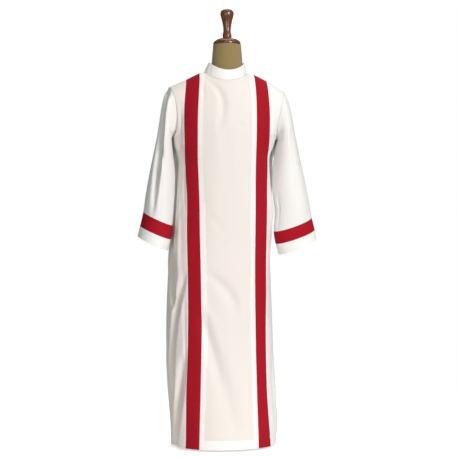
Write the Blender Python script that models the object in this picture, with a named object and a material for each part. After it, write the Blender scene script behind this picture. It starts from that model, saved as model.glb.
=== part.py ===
"""An altar server robe worn on a limbless dress form, at its real size.

Metres, +Z up. The origin is the centre of the base's underside, the robe's front faces -Y, and the
wearer's right is -X. "Turn" is an angle round the body in degrees: 0 at the centre front, -90 at the
wearer's right side seam, +90 at the left one and 180 at the centre back.
"""
import math
from collections import namedtuple

import bmesh
import bpy
from mathutils import Vector

# Cloth and seams
CLOTH_THICKNESS = 0.0016
SEAM_GAP = 0.0004

# Heights of the robe
HEM_HEIGHT = 0.008
ARMPIT_HEIGHT = 1.075

# Body of the robe, a rounded oblong in plan that grows towards the hem
BODY_SQUARENESS = 2.3
SIDE_SEAM_Y = 0.005
SHOULDER_SEAM_Y = 0.0
ROWS_BELOW_ARMPIT = 30
ROWS_ABOVE_ARMPIT = 10
Section = namedtuple("Section", "height right_side left_side front back")
BODY_SECTIONS = [
    Section(0.008, -0.196, 0.172, -0.155, 0.150),
    Section(0.080, -0.198, 0.176, -0.153, 0.149),
    Section(0.185, -0.206, 0.170, -0.149, 0.146),
    Section(0.300, -0.212, 0.163, -0.145, 0.142),
    Section(0.450, -0.212, 0.157, -0.140, 0.137),
    Section(0.600, -0.206, 0.152, -0.134, 0.131),
    Section(0.650, -0.2045, 0.151, -0.132, 0.129),
    Section(0.700, -0.1995, 0.1545, -0.130, 0.127),
    Section(0.760, -0.1920, 0.159, -0.128, 0.124),
    Section(0.830, -0.1845, 0.163, -0.126, 0.121),
    Section(0.890, -0.1783, 0.154, -0.125, 0.118),
    Section(0.940, -0.1740, 0.150, -0.124, 0.117),
    Section(0.980, -0.1712, 0.148, -0.123, 0.116),
    Section(1.010, -0.1760, 0.150, -0.123, 0.115),
    Section(1.040, -0.1850, 0.162, -0.122, 0.114),
    Section(1.075, -0.1890, 0.172, -0.122, 0.112),
]

# Edges of the two red front bands, as distances across the front
BandEdges = namedtuple("BandEdges", "height right_outer right_inner left_inner left_outer")
BAND_EDGES = [
    BandEdges(0.008, -0.1545, -0.111, 0.092, 0.139),
    BandEdges(0.183, -0.153, -0.107, 0.087, 0.126),
    BandEdges(0.370, -0.148, -0.103, 0.084, 0.123),
    BandEdges(0.550, -0.147, -0.104, 0.083, 0.125),
    BandEdges(0.735, -0.149, -0.107, 0.084, 0.128),
    BandEdges(0.850, -0.148, -0.108, 0.085, 0.130),
    BandEdges(0.940, -0.152, -0.111, 0.086, 0.134),
    BandEdges(1.020, -0.155, -0.113, 0.088, 0.138),
    BandEdges(1.160, -0.157, -0.111, 0.090, 0.141),
    BandEdges(1.285, -0.145, -0.100, 0.091, 0.137),
]

# Shoulder seam, from the armhole's top on the wearer's right to the one on the left
ShoulderPoint = namedtuple("ShoulderPoint", "across height")
SHOULDER_LINE = [
    ShoulderPoint(-0.205, 1.2445),
    ShoulderPoint(-0.183, 1.260),
    ShoulderPoint(-0.144, 1.272),
    ShoulderPoint(-0.098, 1.296),
    ShoulderPoint(-0.081, 1.298),
    ShoulderPoint(0.067, 1.298),
    ShoulderPoint(0.093, 1.293),
    ShoulderPoint(0.138, 1.272),
    ShoulderPoint(0.170, 1.252),
    ShoulderPoint(0.2015, 1.2335),
]

# Neckline and the stand collar on it
NECKLINE_X = -0.007
NECKLINE_HALF_WIDTH = 0.074
NECKLINE_HALF_DEPTH = 0.070
NECKLINE_FRONT_HEIGHT = 1.265
NECKLINE_SIDE_HEIGHT = 1.298
NECKLINE_BACK_HEIGHT = 1.303
NECKLINE_FRONT_SLOPE = 30.0
COLLAR_TOP_X = -0.002
COLLAR_TOP_HALF_WIDTH = 0.0622
COLLAR_TOP_HALF_DEPTH = 0.0605
COLLAR_FRONT_HEIGHT = 1.302
COLLAR_SIDE_HEIGHT = 1.334
COLLAR_BACK_HEIGHT = 1.338
COLLAR_ROWS = 2

# Columns of the panels
CENTRE_COLUMNS = 12
BAND_COLUMNS = 2
SIDE_COLUMNS = 5
BACK_MIDDLE_COLUMNS = 6
BACK_SIDE_COLUMNS = 5
BACK_NECK_COLUMNS = 4

# Armholes: loops from the armpit to the shoulder's tip, drawn in towards the body between them
RIGHT_ARMHOLE_BOW = 0.0155
LEFT_ARMHOLE_BOW = 0.007

# Sleeves: loops from an inner point, on the body's side, to an outer one; the first is the armhole
SleeveLoop = namedtuple("SleeveLoop", "outer_x outer_z inner_x inner_z half_depth centre_y")
RIGHT_SLEEVE = [
    SleeveLoop(-0.205, 1.2445, -0.189, 1.075, 0.060, 0.002),
    SleeveLoop(-0.218, 1.220, -0.193, 1.071, 0.062, 0.001),
    SleeveLoop(-0.228, 1.180, -0.195, 1.062, 0.062, -0.001),
    SleeveLoop(-0.236, 1.130, -0.194, 1.044, 0.062, -0.004),
    SleeveLoop(-0.245, 1.076, -0.191, 1.014, 0.062, -0.008),
    SleeveLoop(-0.258, 1.015, -0.1845, 0.962, 0.063, -0.012),
    SleeveLoop(-0.272, 0.946, -0.1845, 0.900, 0.064, -0.016),
    SleeveLoop(-0.285, 0.874, -0.1888, 0.832, 0.066, -0.020),
    SleeveLoop(-0.294, 0.811, -0.1935, 0.766, 0.067, -0.022),
    SleeveLoop(-0.305, 0.763, -0.1985, 0.718, 0.068, -0.023),
    SleeveLoop(-0.314, 0.728, -0.208, 0.680, 0.068, -0.024),
]
LEFT_SLEEVE = [
    SleeveLoop(0.2015, 1.2335, 0.172, 1.075, 0.060, 0.002),
    SleeveLoop(0.2145, 1.203, 0.176, 1.071, 0.062, 0.001),
    SleeveLoop(0.2275, 1.152, 0.177, 1.062, 0.062, -0.001),
    SleeveLoop(0.236, 1.102, 0.1725, 1.044, 0.061, -0.004),
    SleeveLoop(0.246, 1.052, 0.166, 1.008, 0.059, -0.008),
    SleeveLoop(0.257, 0.994, 0.159, 0.954, 0.058, -0.012),
    SleeveLoop(0.270, 0.932, 0.1575, 0.892, 0.056, -0.016),
    SleeveLoop(0.284, 0.858, 0.166, 0.816, 0.055, -0.020),
    SleeveLoop(0.2955, 0.793, 0.162, 0.745, 0.054, -0.022),
    SleeveLoop(0.306, 0.751, 0.168, 0.702, 0.054, -0.023),
    SleeveLoop(0.312, 0.719, 0.178, 0.665, 0.054, -0.024),
]
SLEEVE_FRONT_SAG = 0.008
BAND_TOP_LOOP = 8
BAND_BOTTOM_LOOP = 9
SLEEVE_LOOP_STEPS = 20

# Largest folds of the body: soft troughs along a bent path, widths and depths in metres; a negative
# depth is a ridge, such as the fullness that stands out behind each underarm
BodyFold = namedtuple("BodyFold", "turn_a z_a turn_b z_b turn_c z_c half_width depth")
BODY_FOLDS = [
    BodyFold(-15, 0.605, 3, 0.540, 11, 0.462, 0.018, 0.007),
    BodyFold(-23, 0.460, -8, 0.310, 2, 0.080, 0.020, 0.010),
    BodyFold(-19, 1.266, -5, 1.200, -9, 1.090, 0.013, 0.006),
    BodyFold(-43, 0.590, -61, 0.410, -71, 0.180, 0.015, 0.018),
    BodyFold(-42, 0.290, -57, 0.150, -80, -0.030, 0.015, 0.018),
    BodyFold(-90, 0.870, -79, 0.690, -65, 0.500, 0.022, 0.024),
    BodyFold(-70, 0.860, -58, 0.700, -53, 0.560, 0.013, -0.006),
    BodyFold(70, 0.330, 66, 0.170, 72, -0.060, 0.018, 0.007),
    BodyFold(112, 0.560, 118, 0.300, 114, -0.060, 0.024, 0.013),
    BodyFold(146, 0.700, 150, 0.380, 143, -0.060, 0.024, 0.014),
    BodyFold(178, 0.520, 172, 0.300, 175, -0.060, 0.022, 0.010),
    BodyFold(-152, 0.640, -148, 0.340, -155, -0.060, 0.024, 0.014),
    BodyFold(-118, 0.600, -124, 0.330, -118, -0.060, 0.024, 0.013),
    BodyFold(150, 1.180, 160, 1.060, 158, 0.900, 0.018, 0.007),
    BodyFold(-142, 1.190, -154, 1.040, -160, 0.860, 0.018, 0.007),
    BodyFold(-60, 1.170, -63, 1.090, -67, 1.000, 0.020, 0.008),
    BodyFold(108, 1.140, 108, 1.000, 107, 0.800, 0.034, -0.020),
    BodyFold(-110, 1.140, -110, 0.995, -109, 0.800, 0.034, -0.018),
]

# Largest folds of the sleeves: angles round the loop at their start, middle and end (0 armpit side,
# 180 outer side, negative behind), the loops where they start and end, and half widths at both
SLEEVE_FOLD_EASE = 0.3
SleeveFold = namedtuple("SleeveFold", "start middle end loop_start loop_end half_start half_end depth")
RIGHT_SLEEVE_FOLDS = [
    SleeveFold(168, 124, 112, -1.5, 8.1, 0.030, 0.007, 0.024),
    SleeveFold(132, 101, 97, -1.0, 8.1, 0.014, 0.010, -0.008),
    SleeveFold(-112, -104, -96, 0.8, 7.0, 0.016, 0.016, 0.008),
]
LEFT_SLEEVE_FOLDS = [
    SleeveFold(-112, -106, -100, 0.8, 7.4, 0.016, 0.016, 0.008),
]

# Dress form: linen torso, an oval at each height with the round neck rising out of it
TORSO_SQUARENESS = 2.15
NECK_BLEND = 6
TORSO_SEGMENTS = 28
TorsoSection = namedtuple("TorsoSection", "height half_width half_depth centre_y neck_radius")
TORSO_SECTIONS = [
    TorsoSection(0.6400, 0.1120, 0.0820, 0.004, 0.0),
    TorsoSection(0.6440, 0.1240, 0.0930, 0.004, 0.0),
    TorsoSection(0.6550, 0.1310, 0.1000, 0.004, 0.0),
    TorsoSection(0.7200, 0.1370, 0.1050, 0.004, 0.0),
    TorsoSection(0.7900, 0.1330, 0.1020, 0.002, 0.0),
    TorsoSection(0.8600, 0.1210, 0.0940, -0.001, 0.0),
    TorsoSection(0.9300, 0.1160, 0.0900, -0.003, 0.0),
    TorsoSection(1.0000, 0.1260, 0.0970, -0.005, 0.0),
    TorsoSection(1.0700, 0.1380, 0.1020, -0.006, 0.0),
    TorsoSection(1.1300, 0.1480, 0.0940, -0.004, 0.0),
    TorsoSection(1.1800, 0.1560, 0.0800, -0.002, 0.040),
    TorsoSection(1.2200, 0.1550, 0.0660, 0.000, 0.055),
    TorsoSection(1.2450, 0.1500, 0.0540, 0.000, 0.056),
    TorsoSection(1.2620, 0.1400, 0.0430, 0.000, 0.056),
    TorsoSection(1.2720, 0.1280, 0.0370, 0.000, 0.056),
    TorsoSection(1.2806, 0.1140, 0.0310, 0.000, 0.056),
    TorsoSection(1.2870, 0.0820, 0.0300, 0.000, 0.056),
    TorsoSection(1.2930, 0.0520, 0.0300, 0.000, 0.056),
    TorsoSection(1.3020, 0.0400, 0.0300, 0.000, 0.0555),
    TorsoSection(1.3360, 0.0300, 0.0300, 0.000, 0.0536),
    TorsoSection(1.3960, 0.0300, 0.0300, 0.000, 0.0484),
]

# Turned wood: radius and height of each step of the outline
Turned = namedtuple("Turned", "radius height")
CAP_SEGMENTS = 32
CAP_OUTLINE = [
    Turned(0.0455, 1.3963),
    Turned(0.0482, 1.3975),
    Turned(0.0486, 1.4000),
    Turned(0.0478, 1.4045),
    Turned(0.0445, 1.4095),
    Turned(0.0385, 1.4140),
    Turned(0.0300, 1.4175),
    Turned(0.0200, 1.4200),
    Turned(0.0165, 1.4208),
]
FINIAL_SEGMENTS = 24
FINIAL_OUTLINE = [
    Turned(0.0130, 1.4211),
    Turned(0.0146, 1.4260),
    Turned(0.0156, 1.4332),
    Turned(0.0146, 1.4410),
    Turned(0.0137, 1.4490),
    Turned(0.0143, 1.4600),
    Turned(0.0166, 1.4740),
    Turned(0.0203, 1.4890),
    Turned(0.0231, 1.4990),
    Turned(0.0236, 1.5060),
    Turned(0.0222, 1.5125),
    Turned(0.0182, 1.5175),
    Turned(0.0110, 1.5207),
    Turned(0.0040, 1.5217),
]
POLE_RADIUS = 0.016
POLE_SEGMENTS = 24
BASE_SEGMENTS = 40
BASE_OUTLINE = [
    Turned(0.1080, 0.0000),
    Turned(0.1100, 0.0030),
    Turned(0.1100, 0.0150),
    Turned(0.1070, 0.0200),
    Turned(0.0600, 0.0280),
    Turned(0.0320, 0.0340),
    Turned(0.0270, 0.0450),
    Turned(0.0250, 0.0600),
]
REST_GAP = 0.0003

# Colour, roughness and metallic value of each material
Finish = namedtuple("Finish", "colour roughness metallic")
FINISHES = {
    "white_cloth": Finish((0.86, 0.83, 0.79, 1.0), 0.72, 0.0),
    "red_cloth": Finish((0.48, 0.010, 0.022, 1.0), 0.68, 0.0),
    "linen": Finish((0.28, 0.225, 0.11, 1.0), 0.85, 0.0),
    "turned_wood": Finish((0.19, 0.045, 0.012, 1.0), 0.25, 0.0),
}


def smooth_value(rows, key, field, at):
    """Value of a table's field at a key, on a smooth curve through the rows."""
    keys = [getattr(row, key) for row in rows]
    values = [getattr(row, field) for row in rows]
    if at <= keys[0]:
        return values[0]
    if at >= keys[-1]:
        return values[-1]
    last = len(rows) - 1
    i = next(n for n in range(last) if keys[n] <= at <= keys[n + 1])

    def slope(n):
        low, high = max(n - 1, 0), min(n + 1, last)
        return (values[high] - values[low]) / (keys[high] - keys[low])

    span = keys[i + 1] - keys[i]
    t = (at - keys[i]) / span
    return (
        values[i] * (2 * t**3 - 3 * t**2 + 1)
        + span * slope(i) * (t**3 - 2 * t**2 + t)
        + values[i + 1] * (3 * t**2 - 2 * t**3)
        + span * slope(i + 1) * (t**3 - t**2)
    )


def straight_value(rows, key, field, at):
    """Value of a table's field at a key, on straight lines between the rows."""
    for a, b in zip(rows, rows[1:]):
        low, high = getattr(a, key), getattr(b, key)
        if low <= at <= high:
            share = (at - low) / (high - low)
            return getattr(a, field) + share * (getattr(b, field) - getattr(a, field))
    return getattr(rows[0] if at < getattr(rows[0], key) else rows[-1], field)


def signed_power(value, power):
    return math.copysign(abs(value) ** power, value)


def body_ring(z, turn):
    """Point of the body's plain outer surface at a height, up to the armpit."""
    z_row = min(z, ARMPIT_HEIGHT)
    right = smooth_value(BODY_SECTIONS, "height", "right_side", z_row)
    left = smooth_value(BODY_SECTIONS, "height", "left_side", z_row)
    reach = "front" if abs(turn) <= 90 else "back"
    depth = abs(smooth_value(BODY_SECTIONS, "height", reach, z_row) - SIDE_SEAM_Y)
    power = 2 / BODY_SQUARENESS
    x = (left + right) / 2 + (left - right) / 2 * signed_power(math.sin(math.radians(turn)), power)
    y = SIDE_SEAM_Y - depth * signed_power(math.cos(math.radians(turn)), power)
    return Vector((x, y, z))


def turn_at(z, x, behind=False):
    """Turn of the point at a distance across, on the front or the back."""
    z_row = min(z, ARMPIT_HEIGHT)
    right = smooth_value(BODY_SECTIONS, "height", "right_side", z_row)
    left = smooth_value(BODY_SECTIONS, "height", "left_side", z_row)
    share = (x - (left + right) / 2) / ((left - right) / 2)
    share = max(-1.0, min(1.0, share))
    turn = math.degrees(math.asin(signed_power(share, BODY_SQUARENESS / 2)))
    if behind:
        turn = math.copysign(180, turn if turn else 1) - turn
    return turn


def centre_x(z):
    """Middle between the two side seams at a height."""
    return (body_ring(z, -90).x + body_ring(z, 90).x) / 2


def oval_height(angle, front, side, back):
    """Height of a loop that dips or rises from its sides to its front and back."""
    lean = math.cos(math.radians(angle))
    end = front if lean > 0 else back
    return side + (end - side) * abs(lean) ** 1.5


def neckline(angle):
    """Point of the neckline; the angle is 0 at the front and 90 at the wearer's left."""
    a = math.radians(angle)
    return Vector((
        NECKLINE_X + NECKLINE_HALF_WIDTH * math.sin(a),
        -NECKLINE_HALF_DEPTH * math.cos(a),
        oval_height(angle, NECKLINE_FRONT_HEIGHT, NECKLINE_SIDE_HEIGHT, NECKLINE_BACK_HEIGHT),
    ))


def collar_top(angle):
    """Point of the stand collar's top edge."""
    a = math.radians(angle)
    return Vector((
        COLLAR_TOP_X + COLLAR_TOP_HALF_WIDTH * math.sin(a),
        -COLLAR_TOP_HALF_DEPTH * math.cos(a),
        oval_height(angle, COLLAR_FRONT_HEIGHT, COLLAR_SIDE_HEIGHT, COLLAR_BACK_HEIGHT),
    ))


def shoulder_point(x):
    return Vector((x, SHOULDER_SEAM_Y, straight_value(SHOULDER_LINE, "across", "height", x)))


def row_share(row):
    """Share of the way up from the armpit, for a row above it."""
    return (1 - math.cos(math.pi * row / ROWS_ABOVE_ARMPIT)) / 2


def row_height(row):
    """Height of a row between the hem and the armpit."""
    return HEM_HEIGHT + (ARMPIT_HEIGHT - HEM_HEIGHT) * row / ROWS_BELOW_ARMPIT


def rising_column(foot, top, share, slope_angle, across):
    """Point on the chest or back, on an arc from its foot at the armpit's height to its top."""
    steep = math.radians(90 - slope_angle)
    arc = math.asin(share * math.sin(steep))
    z = foot.z + (top.z - foot.z) * share
    y = foot.y + (top.y - foot.y) * (1 - math.cos(arc)) / (1 - math.cos(steep))
    x = across(z) + (top.x - across(top.z)) * share**3
    return Vector((x, y, z))


def sleeve_point(loop, angle):
    """Point of a sleeve loop; the angle is 0 at the inner point and negative behind."""
    a = math.radians(angle)
    share = (1 - math.cos(a)) / 2
    x = loop.inner_x + (loop.outer_x - loop.inner_x) * share
    z = loop.inner_z + (loop.outer_z - loop.inner_z) * share
    return Vector((x, loop.centre_y - loop.half_depth * math.sin(a), z))


def armhole_point(sleeve, row, behind):
    """Point of an armhole's loop at a row above the armpit."""
    angle = 180 * row / ROWS_ABOVE_ARMPIT
    point = sleeve_point(sleeve[0], -angle if behind else angle)
    share = row / ROWS_ABOVE_ARMPIT
    seam_y = SIDE_SEAM_Y + (SHOULDER_SEAM_Y - SIDE_SEAM_Y) * share
    point.y += seam_y - sleeve[0].centre_y
    bow = LEFT_ARMHOLE_BOW if point.x > 0 else -RIGHT_ARMHOLE_BOW
    point.x -= bow * math.sin(math.radians(angle))
    return point


def middle_columns(behind):
    """Distance across of each column that climbs to the shoulder seam or the neckline, and its top."""
    columns = []

    def edge(field):
        return lambda z: smooth_value(BAND_EDGES, "height", field, z)

    def between(a, b, share):
        return lambda z: a(z) + (b(z) - a(z)) * share

    if behind:
        shoulder = BAND_EDGES[-1]
        halves = (
            (-1, edge("right_outer"), (shoulder.right_inner, shoulder.right_outer)),
            (1, edge("left_outer"), (shoulder.left_inner, shoulder.left_outer)),
        )
        for side, limit, seam_points in halves:
            tops = [
                neckline(side * (180 - 90 * i / BACK_NECK_COLUMNS)) for i in range(BACK_NECK_COLUMNS + 1)
            ]
            tops += [shoulder_point(x) for x in seam_points]
            half = [
                (between(centre_x, limit, i / BACK_MIDDLE_COLUMNS), top, 0.0)
                for i, top in enumerate(tops)
            ]
            columns = half[::-1] if side < 0 else columns + half[1:]
        return columns
    fields = ("right_outer", "right_inner", "left_inner", "left_outer")
    counts = (BAND_COLUMNS, CENTRE_COLUMNS, BAND_COLUMNS)
    for strip, count in enumerate(counts):
        start, end = edge(fields[strip]), edge(fields[strip + 1])
        for i in range(count + 1):
            if strip and i == 0:
                continue
            across = between(start, end, i / count)
            if strip == 1 and 0 < i < count:
                angle = -90 + 180 * (i - 1) / (count - 2)
                slope = NECKLINE_FRONT_SLOPE * math.cos(math.radians(angle))
                columns.append((across, neckline(angle), slope))
            else:
                columns.append((across, shoulder_point(across(BAND_EDGES[-1].height)), 0.0))
    return columns


def side_column(edge_points, ring_points, hole_points, share):
    """One column of a side panel, blended from the band's edge to the armhole."""
    column = []
    bulge = ring_points[0] - edge_points[0].lerp(hole_points[0], share)
    for row in range(ROWS_ABOVE_ARMPIT + 1):
        fade = (1 - row_share(row)) ** 2
        column.append(edge_points[row].lerp(hole_points[row], share) + bulge * fade)
    return column


def body_grid(behind):
    """Plain outer surface of the front or the back, as columns from the right seam to the left."""
    side_count = BACK_SIDE_COLUMNS if behind else SIDE_COLUMNS
    middle = middle_columns(behind)
    columns = []
    for across, top, slope in middle:
        column = []
        for row in range(ROWS_BELOW_ARMPIT + 1):
            z = row_height(row)
            column.append(body_ring(z, turn_at(z, across(z), behind)))
        for row in range(1, ROWS_ABOVE_ARMPIT + 1):
            column.append(rising_column(column[ROWS_BELOW_ARMPIT], top, row_share(row), slope, across))
        columns.append(column)
    for side, sleeve in ((-1, RIGHT_SLEEVE), (1, LEFT_SLEEVE)):
        edge = columns[0] if side < 0 else columns[-1]
        hole = [armhole_point(sleeve, row, behind) for row in range(ROWS_ABOVE_ARMPIT + 1)]
        added = []
        for i in range(1, side_count + 1):
            share = i / side_count
            column = []
            for row in range(ROWS_BELOW_ARMPIT + 1):
                z = row_height(row)
                start = turn_at(z, edge[row].x, behind)
                column.append(body_ring(z, start + (side * 90 - start) * share))
            upper = side_column(edge[ROWS_BELOW_ARMPIT:], [column[-1]], hole, share)
            added.append(column + upper[1:])
        columns = added[::-1] + columns if side < 0 else columns + added
    return columns


def path_point(fold, t):
    """Turn and height on a fold's bent path."""
    a, b, c = (1 - t) ** 2, 2 * t * (1 - t), t**2
    middle_turn = 2 * fold.turn_b - (fold.turn_a + fold.turn_c) / 2
    middle_z = 2 * fold.z_b - (fold.z_a + fold.z_c) / 2
    return (
        a * fold.turn_a + b * middle_turn + c * fold.turn_c,
        a * fold.z_a + b * middle_z + c * fold.z_c,
    )


def trough(distance, half_width, depth):
    """Depth of a soft trough with slightly raised banks, across its path."""
    q = distance / half_width
    return -depth * (1 - 0.6 * q * q) * math.exp(-q * q)


def fold_push(turn, z):
    """How far the body's folds move a point outwards."""
    metres_per_degree = 0.0029
    steps = 16
    push = 0.0
    for fold in BODY_FOLDS:
        best, at = 1.0, 0.0
        for step in range(steps + 1):
            path_turn, path_z = path_point(fold, step / steps)
            gap = abs(turn - path_turn)
            gap = min(gap, 360 - gap) * metres_per_degree
            distance = math.hypot(gap, z - path_z)
            if distance < best:
                best, at = distance, step / steps
        push += trough(best, fold.half_width, fold.depth) * math.sin(math.pi * (0.1 + 0.8 * at))
    return push


def grid_normals(columns, behind):
    """Outward directions of a grid, made square to the seams at its edges."""
    last_col, last_row = len(columns) - 1, len(columns[0]) - 1
    normals = []
    for c, column in enumerate(columns):
        line = []
        for r in range(len(column)):
            along = columns[min(c + 1, last_col)][r] - columns[max(c - 1, 0)][r]
            up = column[min(r + 1, last_row)] - column[max(r - 1, 0)]
            normal = along.cross(up)
            if behind:
                normal = -normal
            side = -1 if c < last_col / 2 else 1
            if c in (0, last_col):
                if r <= ROWS_BELOW_ARMPIT:
                    normal = Vector((side, 0, 0))
                elif r == last_row:
                    normal = Vector((0, 0, 1))
                elif normal.x * side < 0:
                    normal.x = 0
            elif r == last_row and abs(column[r].x - NECKLINE_X) >= NECKLINE_HALF_WIDTH - 1e-6:
                normal.y = 0
            line.append(normal.normalized())
        normals.append(line)
    return normals


def body_walls(behind):
    """Outer and inner surface of the front or the back, folds included."""
    plain = body_grid(behind)
    normals = grid_normals(plain, behind)
    edge_columns = (0, len(plain) - 1)
    outer, inner = [], []
    for c, column in enumerate(plain):
        outer.append([])
        inner.append([])
        for r, point in enumerate(column):
            turn = turn_at(point.z, point.x, behind)
            if c in edge_columns and r <= ROWS_BELOW_ARMPIT:
                turn = math.copysign(90, c - 1)
            push = fold_push(turn, point.z)
            if r > ROWS_BELOW_ARMPIT:
                push *= 1 - row_share(r - ROWS_BELOW_ARMPIT) ** 6
                if c in edge_columns:
                    push = 0.0
            moved = point + normals[c][r] * push
            outer[-1].append(moved)
            inner[-1].append(moved - normals[c][r] * CLOTH_THICKNESS)
    return outer, inner


def inset_edges(columns):
    """Columns with their four edges drawn in by half a seam's gap."""
    half = SEAM_GAP / 2
    result = [list(column) for column in columns]
    for edge, neighbour in ((0, 1), (-1, -2)):
        for r in range(len(columns[0])):
            step = (columns[neighbour][r] - columns[edge][r]).normalized()
            result[edge][r] = columns[edge][r] + step * half
    for column, plain in zip(result, columns):
        for edge, neighbour in ((0, 1), (-1, -2)):
            column[edge] = column[edge] + (plain[neighbour] - plain[edge]).normalized() * half
    return result


def wall_mesh(name, outer, inner, closed):
    """Closed wall between two grids of columns; a closed one joins its last column to its first."""
    mesh = bpy.data.meshes.new(name)
    bm = bmesh.new()
    layers = [[[bm.verts.new(p) for p in column] for column in grid] for grid in (outer, inner)]
    columns, rows = len(outer), len(outer[0])
    spans = columns if closed else columns - 1
    for layer in layers:
        for c in range(spans):
            a, b = layer[c], layer[(c + 1) % columns]
            for r in range(rows - 1):
                bm.faces.new((a[r], b[r], b[r + 1], a[r + 1]))
    for c in range(spans):
        d = (c + 1) % columns
        for r in (0, rows - 1):
            bm.faces.new((layers[0][c][r], layers[0][d][r], layers[1][d][r], layers[1][c][r]))
    if not closed:
        for c in (0, columns - 1):
            for r in range(rows - 1):
                bm.faces.new((layers[0][c][r], layers[0][c][r + 1],
                              layers[1][c][r + 1], layers[1][c][r]))
    bmesh.ops.recalc_face_normals(bm, faces=bm.faces)
    bm.to_mesh(mesh)
    bm.free()
    return mesh


def turned_mesh(name, outline, segments):
    """Solid of revolution about Z, closed with flat discs."""
    mesh = bpy.data.meshes.new(name)
    bm = bmesh.new()
    rings = []
    for step in outline:
        ring = []
        for s in range(segments):
            a = 2 * math.pi * s / segments
            ring.append(bm.verts.new((step.radius * math.cos(a), step.radius * math.sin(a), step.height)))
        rings.append(ring)
    for low, high in zip(rings, rings[1:]):
        for s in range(segments):
            t = (s + 1) % segments
            bm.faces.new((low[s], low[t], high[t], high[s]))
    bm.faces.new(rings[0])
    bm.faces.new(rings[-1])
    bmesh.ops.recalc_face_normals(bm, faces=bm.faces)
    bm.to_mesh(mesh)
    bm.free()
    return mesh


def make_materials():
    """One Principled material for each finish."""
    materials = {}
    for name, finish in FINISHES.items():
        material = bpy.data.materials.new(name)
        material.use_nodes = True
        shader = material.node_tree.nodes["Principled BSDF"]
        shader.inputs["Base Color"].default_value = finish.colour
        shader.inputs["Roughness"].default_value = finish.roughness
        shader.inputs["Metallic"].default_value = finish.metallic
        material.diffuse_color = finish.colour
        materials[name] = material
    return materials


def add_piece(name, mesh, material, parent):
    """Object for a mesh, smooth but for its sharp edges."""
    mesh.materials.append(material)
    mesh.shade_smooth()
    mesh.set_sharp_from_angle(angle=math.radians(40))
    piece = bpy.data.objects.new(name, mesh)
    piece.parent = parent
    bpy.context.scene.collection.objects.link(piece)
    return piece


def add_panel(name, walls, first, last, material, parent):
    """Panel cut from the front or the back between two of its columns."""
    outer, inner = (inset_edges(wall[first:last + 1]) for wall in walls)
    add_piece(name, wall_mesh(name, outer, inner, closed=False), material, parent)


def add_body(materials, parent):
    """Front panels with the red bands between them, and the two back panels."""
    front = body_walls(behind=False)
    cuts = [0]
    for count in (SIDE_COLUMNS, BAND_COLUMNS, CENTRE_COLUMNS, BAND_COLUMNS, SIDE_COLUMNS):
        cuts.append(cuts[-1] + count)
    names = (
        ("front_side_panel_right", "white_cloth"),
        ("front_band_right", "red_cloth"),
        ("front_centre_panel", "white_cloth"),
        ("front_band_left", "red_cloth"),
        ("front_side_panel_left", "white_cloth"),
    )
    for (name, finish), first, last in zip(names, cuts, cuts[1:]):
        add_panel(name, front, first, last, materials[finish], parent)
    back = body_walls(behind=True)
    middle = BACK_SIDE_COLUMNS + BACK_MIDDLE_COLUMNS
    white = materials["white_cloth"]
    add_panel("back_panel_right", back, 0, middle, white, parent)
    add_panel("back_panel_left", back, middle, 2 * middle, white, parent)


def ease(share):
    """Smooth rise from 0 to 1."""
    share = max(0.0, min(1.0, share))
    return share**2 * (3 - 2 * share)


def sleeve_fold_push(folds, row, angle, radius):
    """How far a sleeve's folds move a point of one of its loops outwards."""
    push = 0.0
    for fold in folds:
        share = (row - fold.loop_start) / (fold.loop_end - fold.loop_start)
        if 0 < share < 1:
            bend = 2 * (fold.start + fold.end - 2 * fold.middle)
            path = fold.start + (fold.end - fold.start) * share - bend * share * (1 - share)
            turn = (angle - path + 180) % 360 - 180
            half_width = fold.half_start + (fold.half_end - fold.half_start) * share
            fade = ease(share / SLEEVE_FOLD_EASE) * ease((1 - share) / SLEEVE_FOLD_EASE)
            push += trough(math.radians(turn) * radius, half_width, fold.depth) * fade
    return push


def sleeve_walls(sleeve, folds, side):
    """Outer and inner loops of a sleeve, with its folds and the sag of its front."""
    outer, inner = [], []
    for row, loop in enumerate(sleeve):
        outer.append([])
        inner.append([])
        along = (Vector((loop.outer_x, 0, loop.outer_z)) - Vector((loop.inner_x, 0, loop.inner_z)))
        half_length = along.length / 2
        along.normalize()
        for step in range(SLEEVE_LOOP_STEPS):
            angle = -180 + 360 * step / SLEEVE_LOOP_STEPS
            point = sleeve_point(loop, angle)
            a = math.radians(angle)
            out = along * (-math.cos(a) * loop.half_depth) + Vector((0, -math.sin(a) * half_length, 0))
            out.normalize()
            if row == 0:
                bow_row = abs(angle) / 180 * ROWS_ABOVE_ARMPIT
                point = armhole_point(sleeve, bow_row, angle < 0)
                point.x += side * SEAM_GAP
                if out.x * side > 0:
                    out.x = 0
            push = sleeve_fold_push(folds, row, angle, (loop.half_depth + half_length) / 2) if row else 0.0
            sag = SLEEVE_FRONT_SAG * math.sin(a) * min(1.0, row / BAND_TOP_LOOP)
            point = point + out * push - Vector((0, 0, sag))
            outer[-1].append(point)
            inner[-1].append(point - out * CLOTH_THICKNESS)
    return outer, inner


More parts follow.
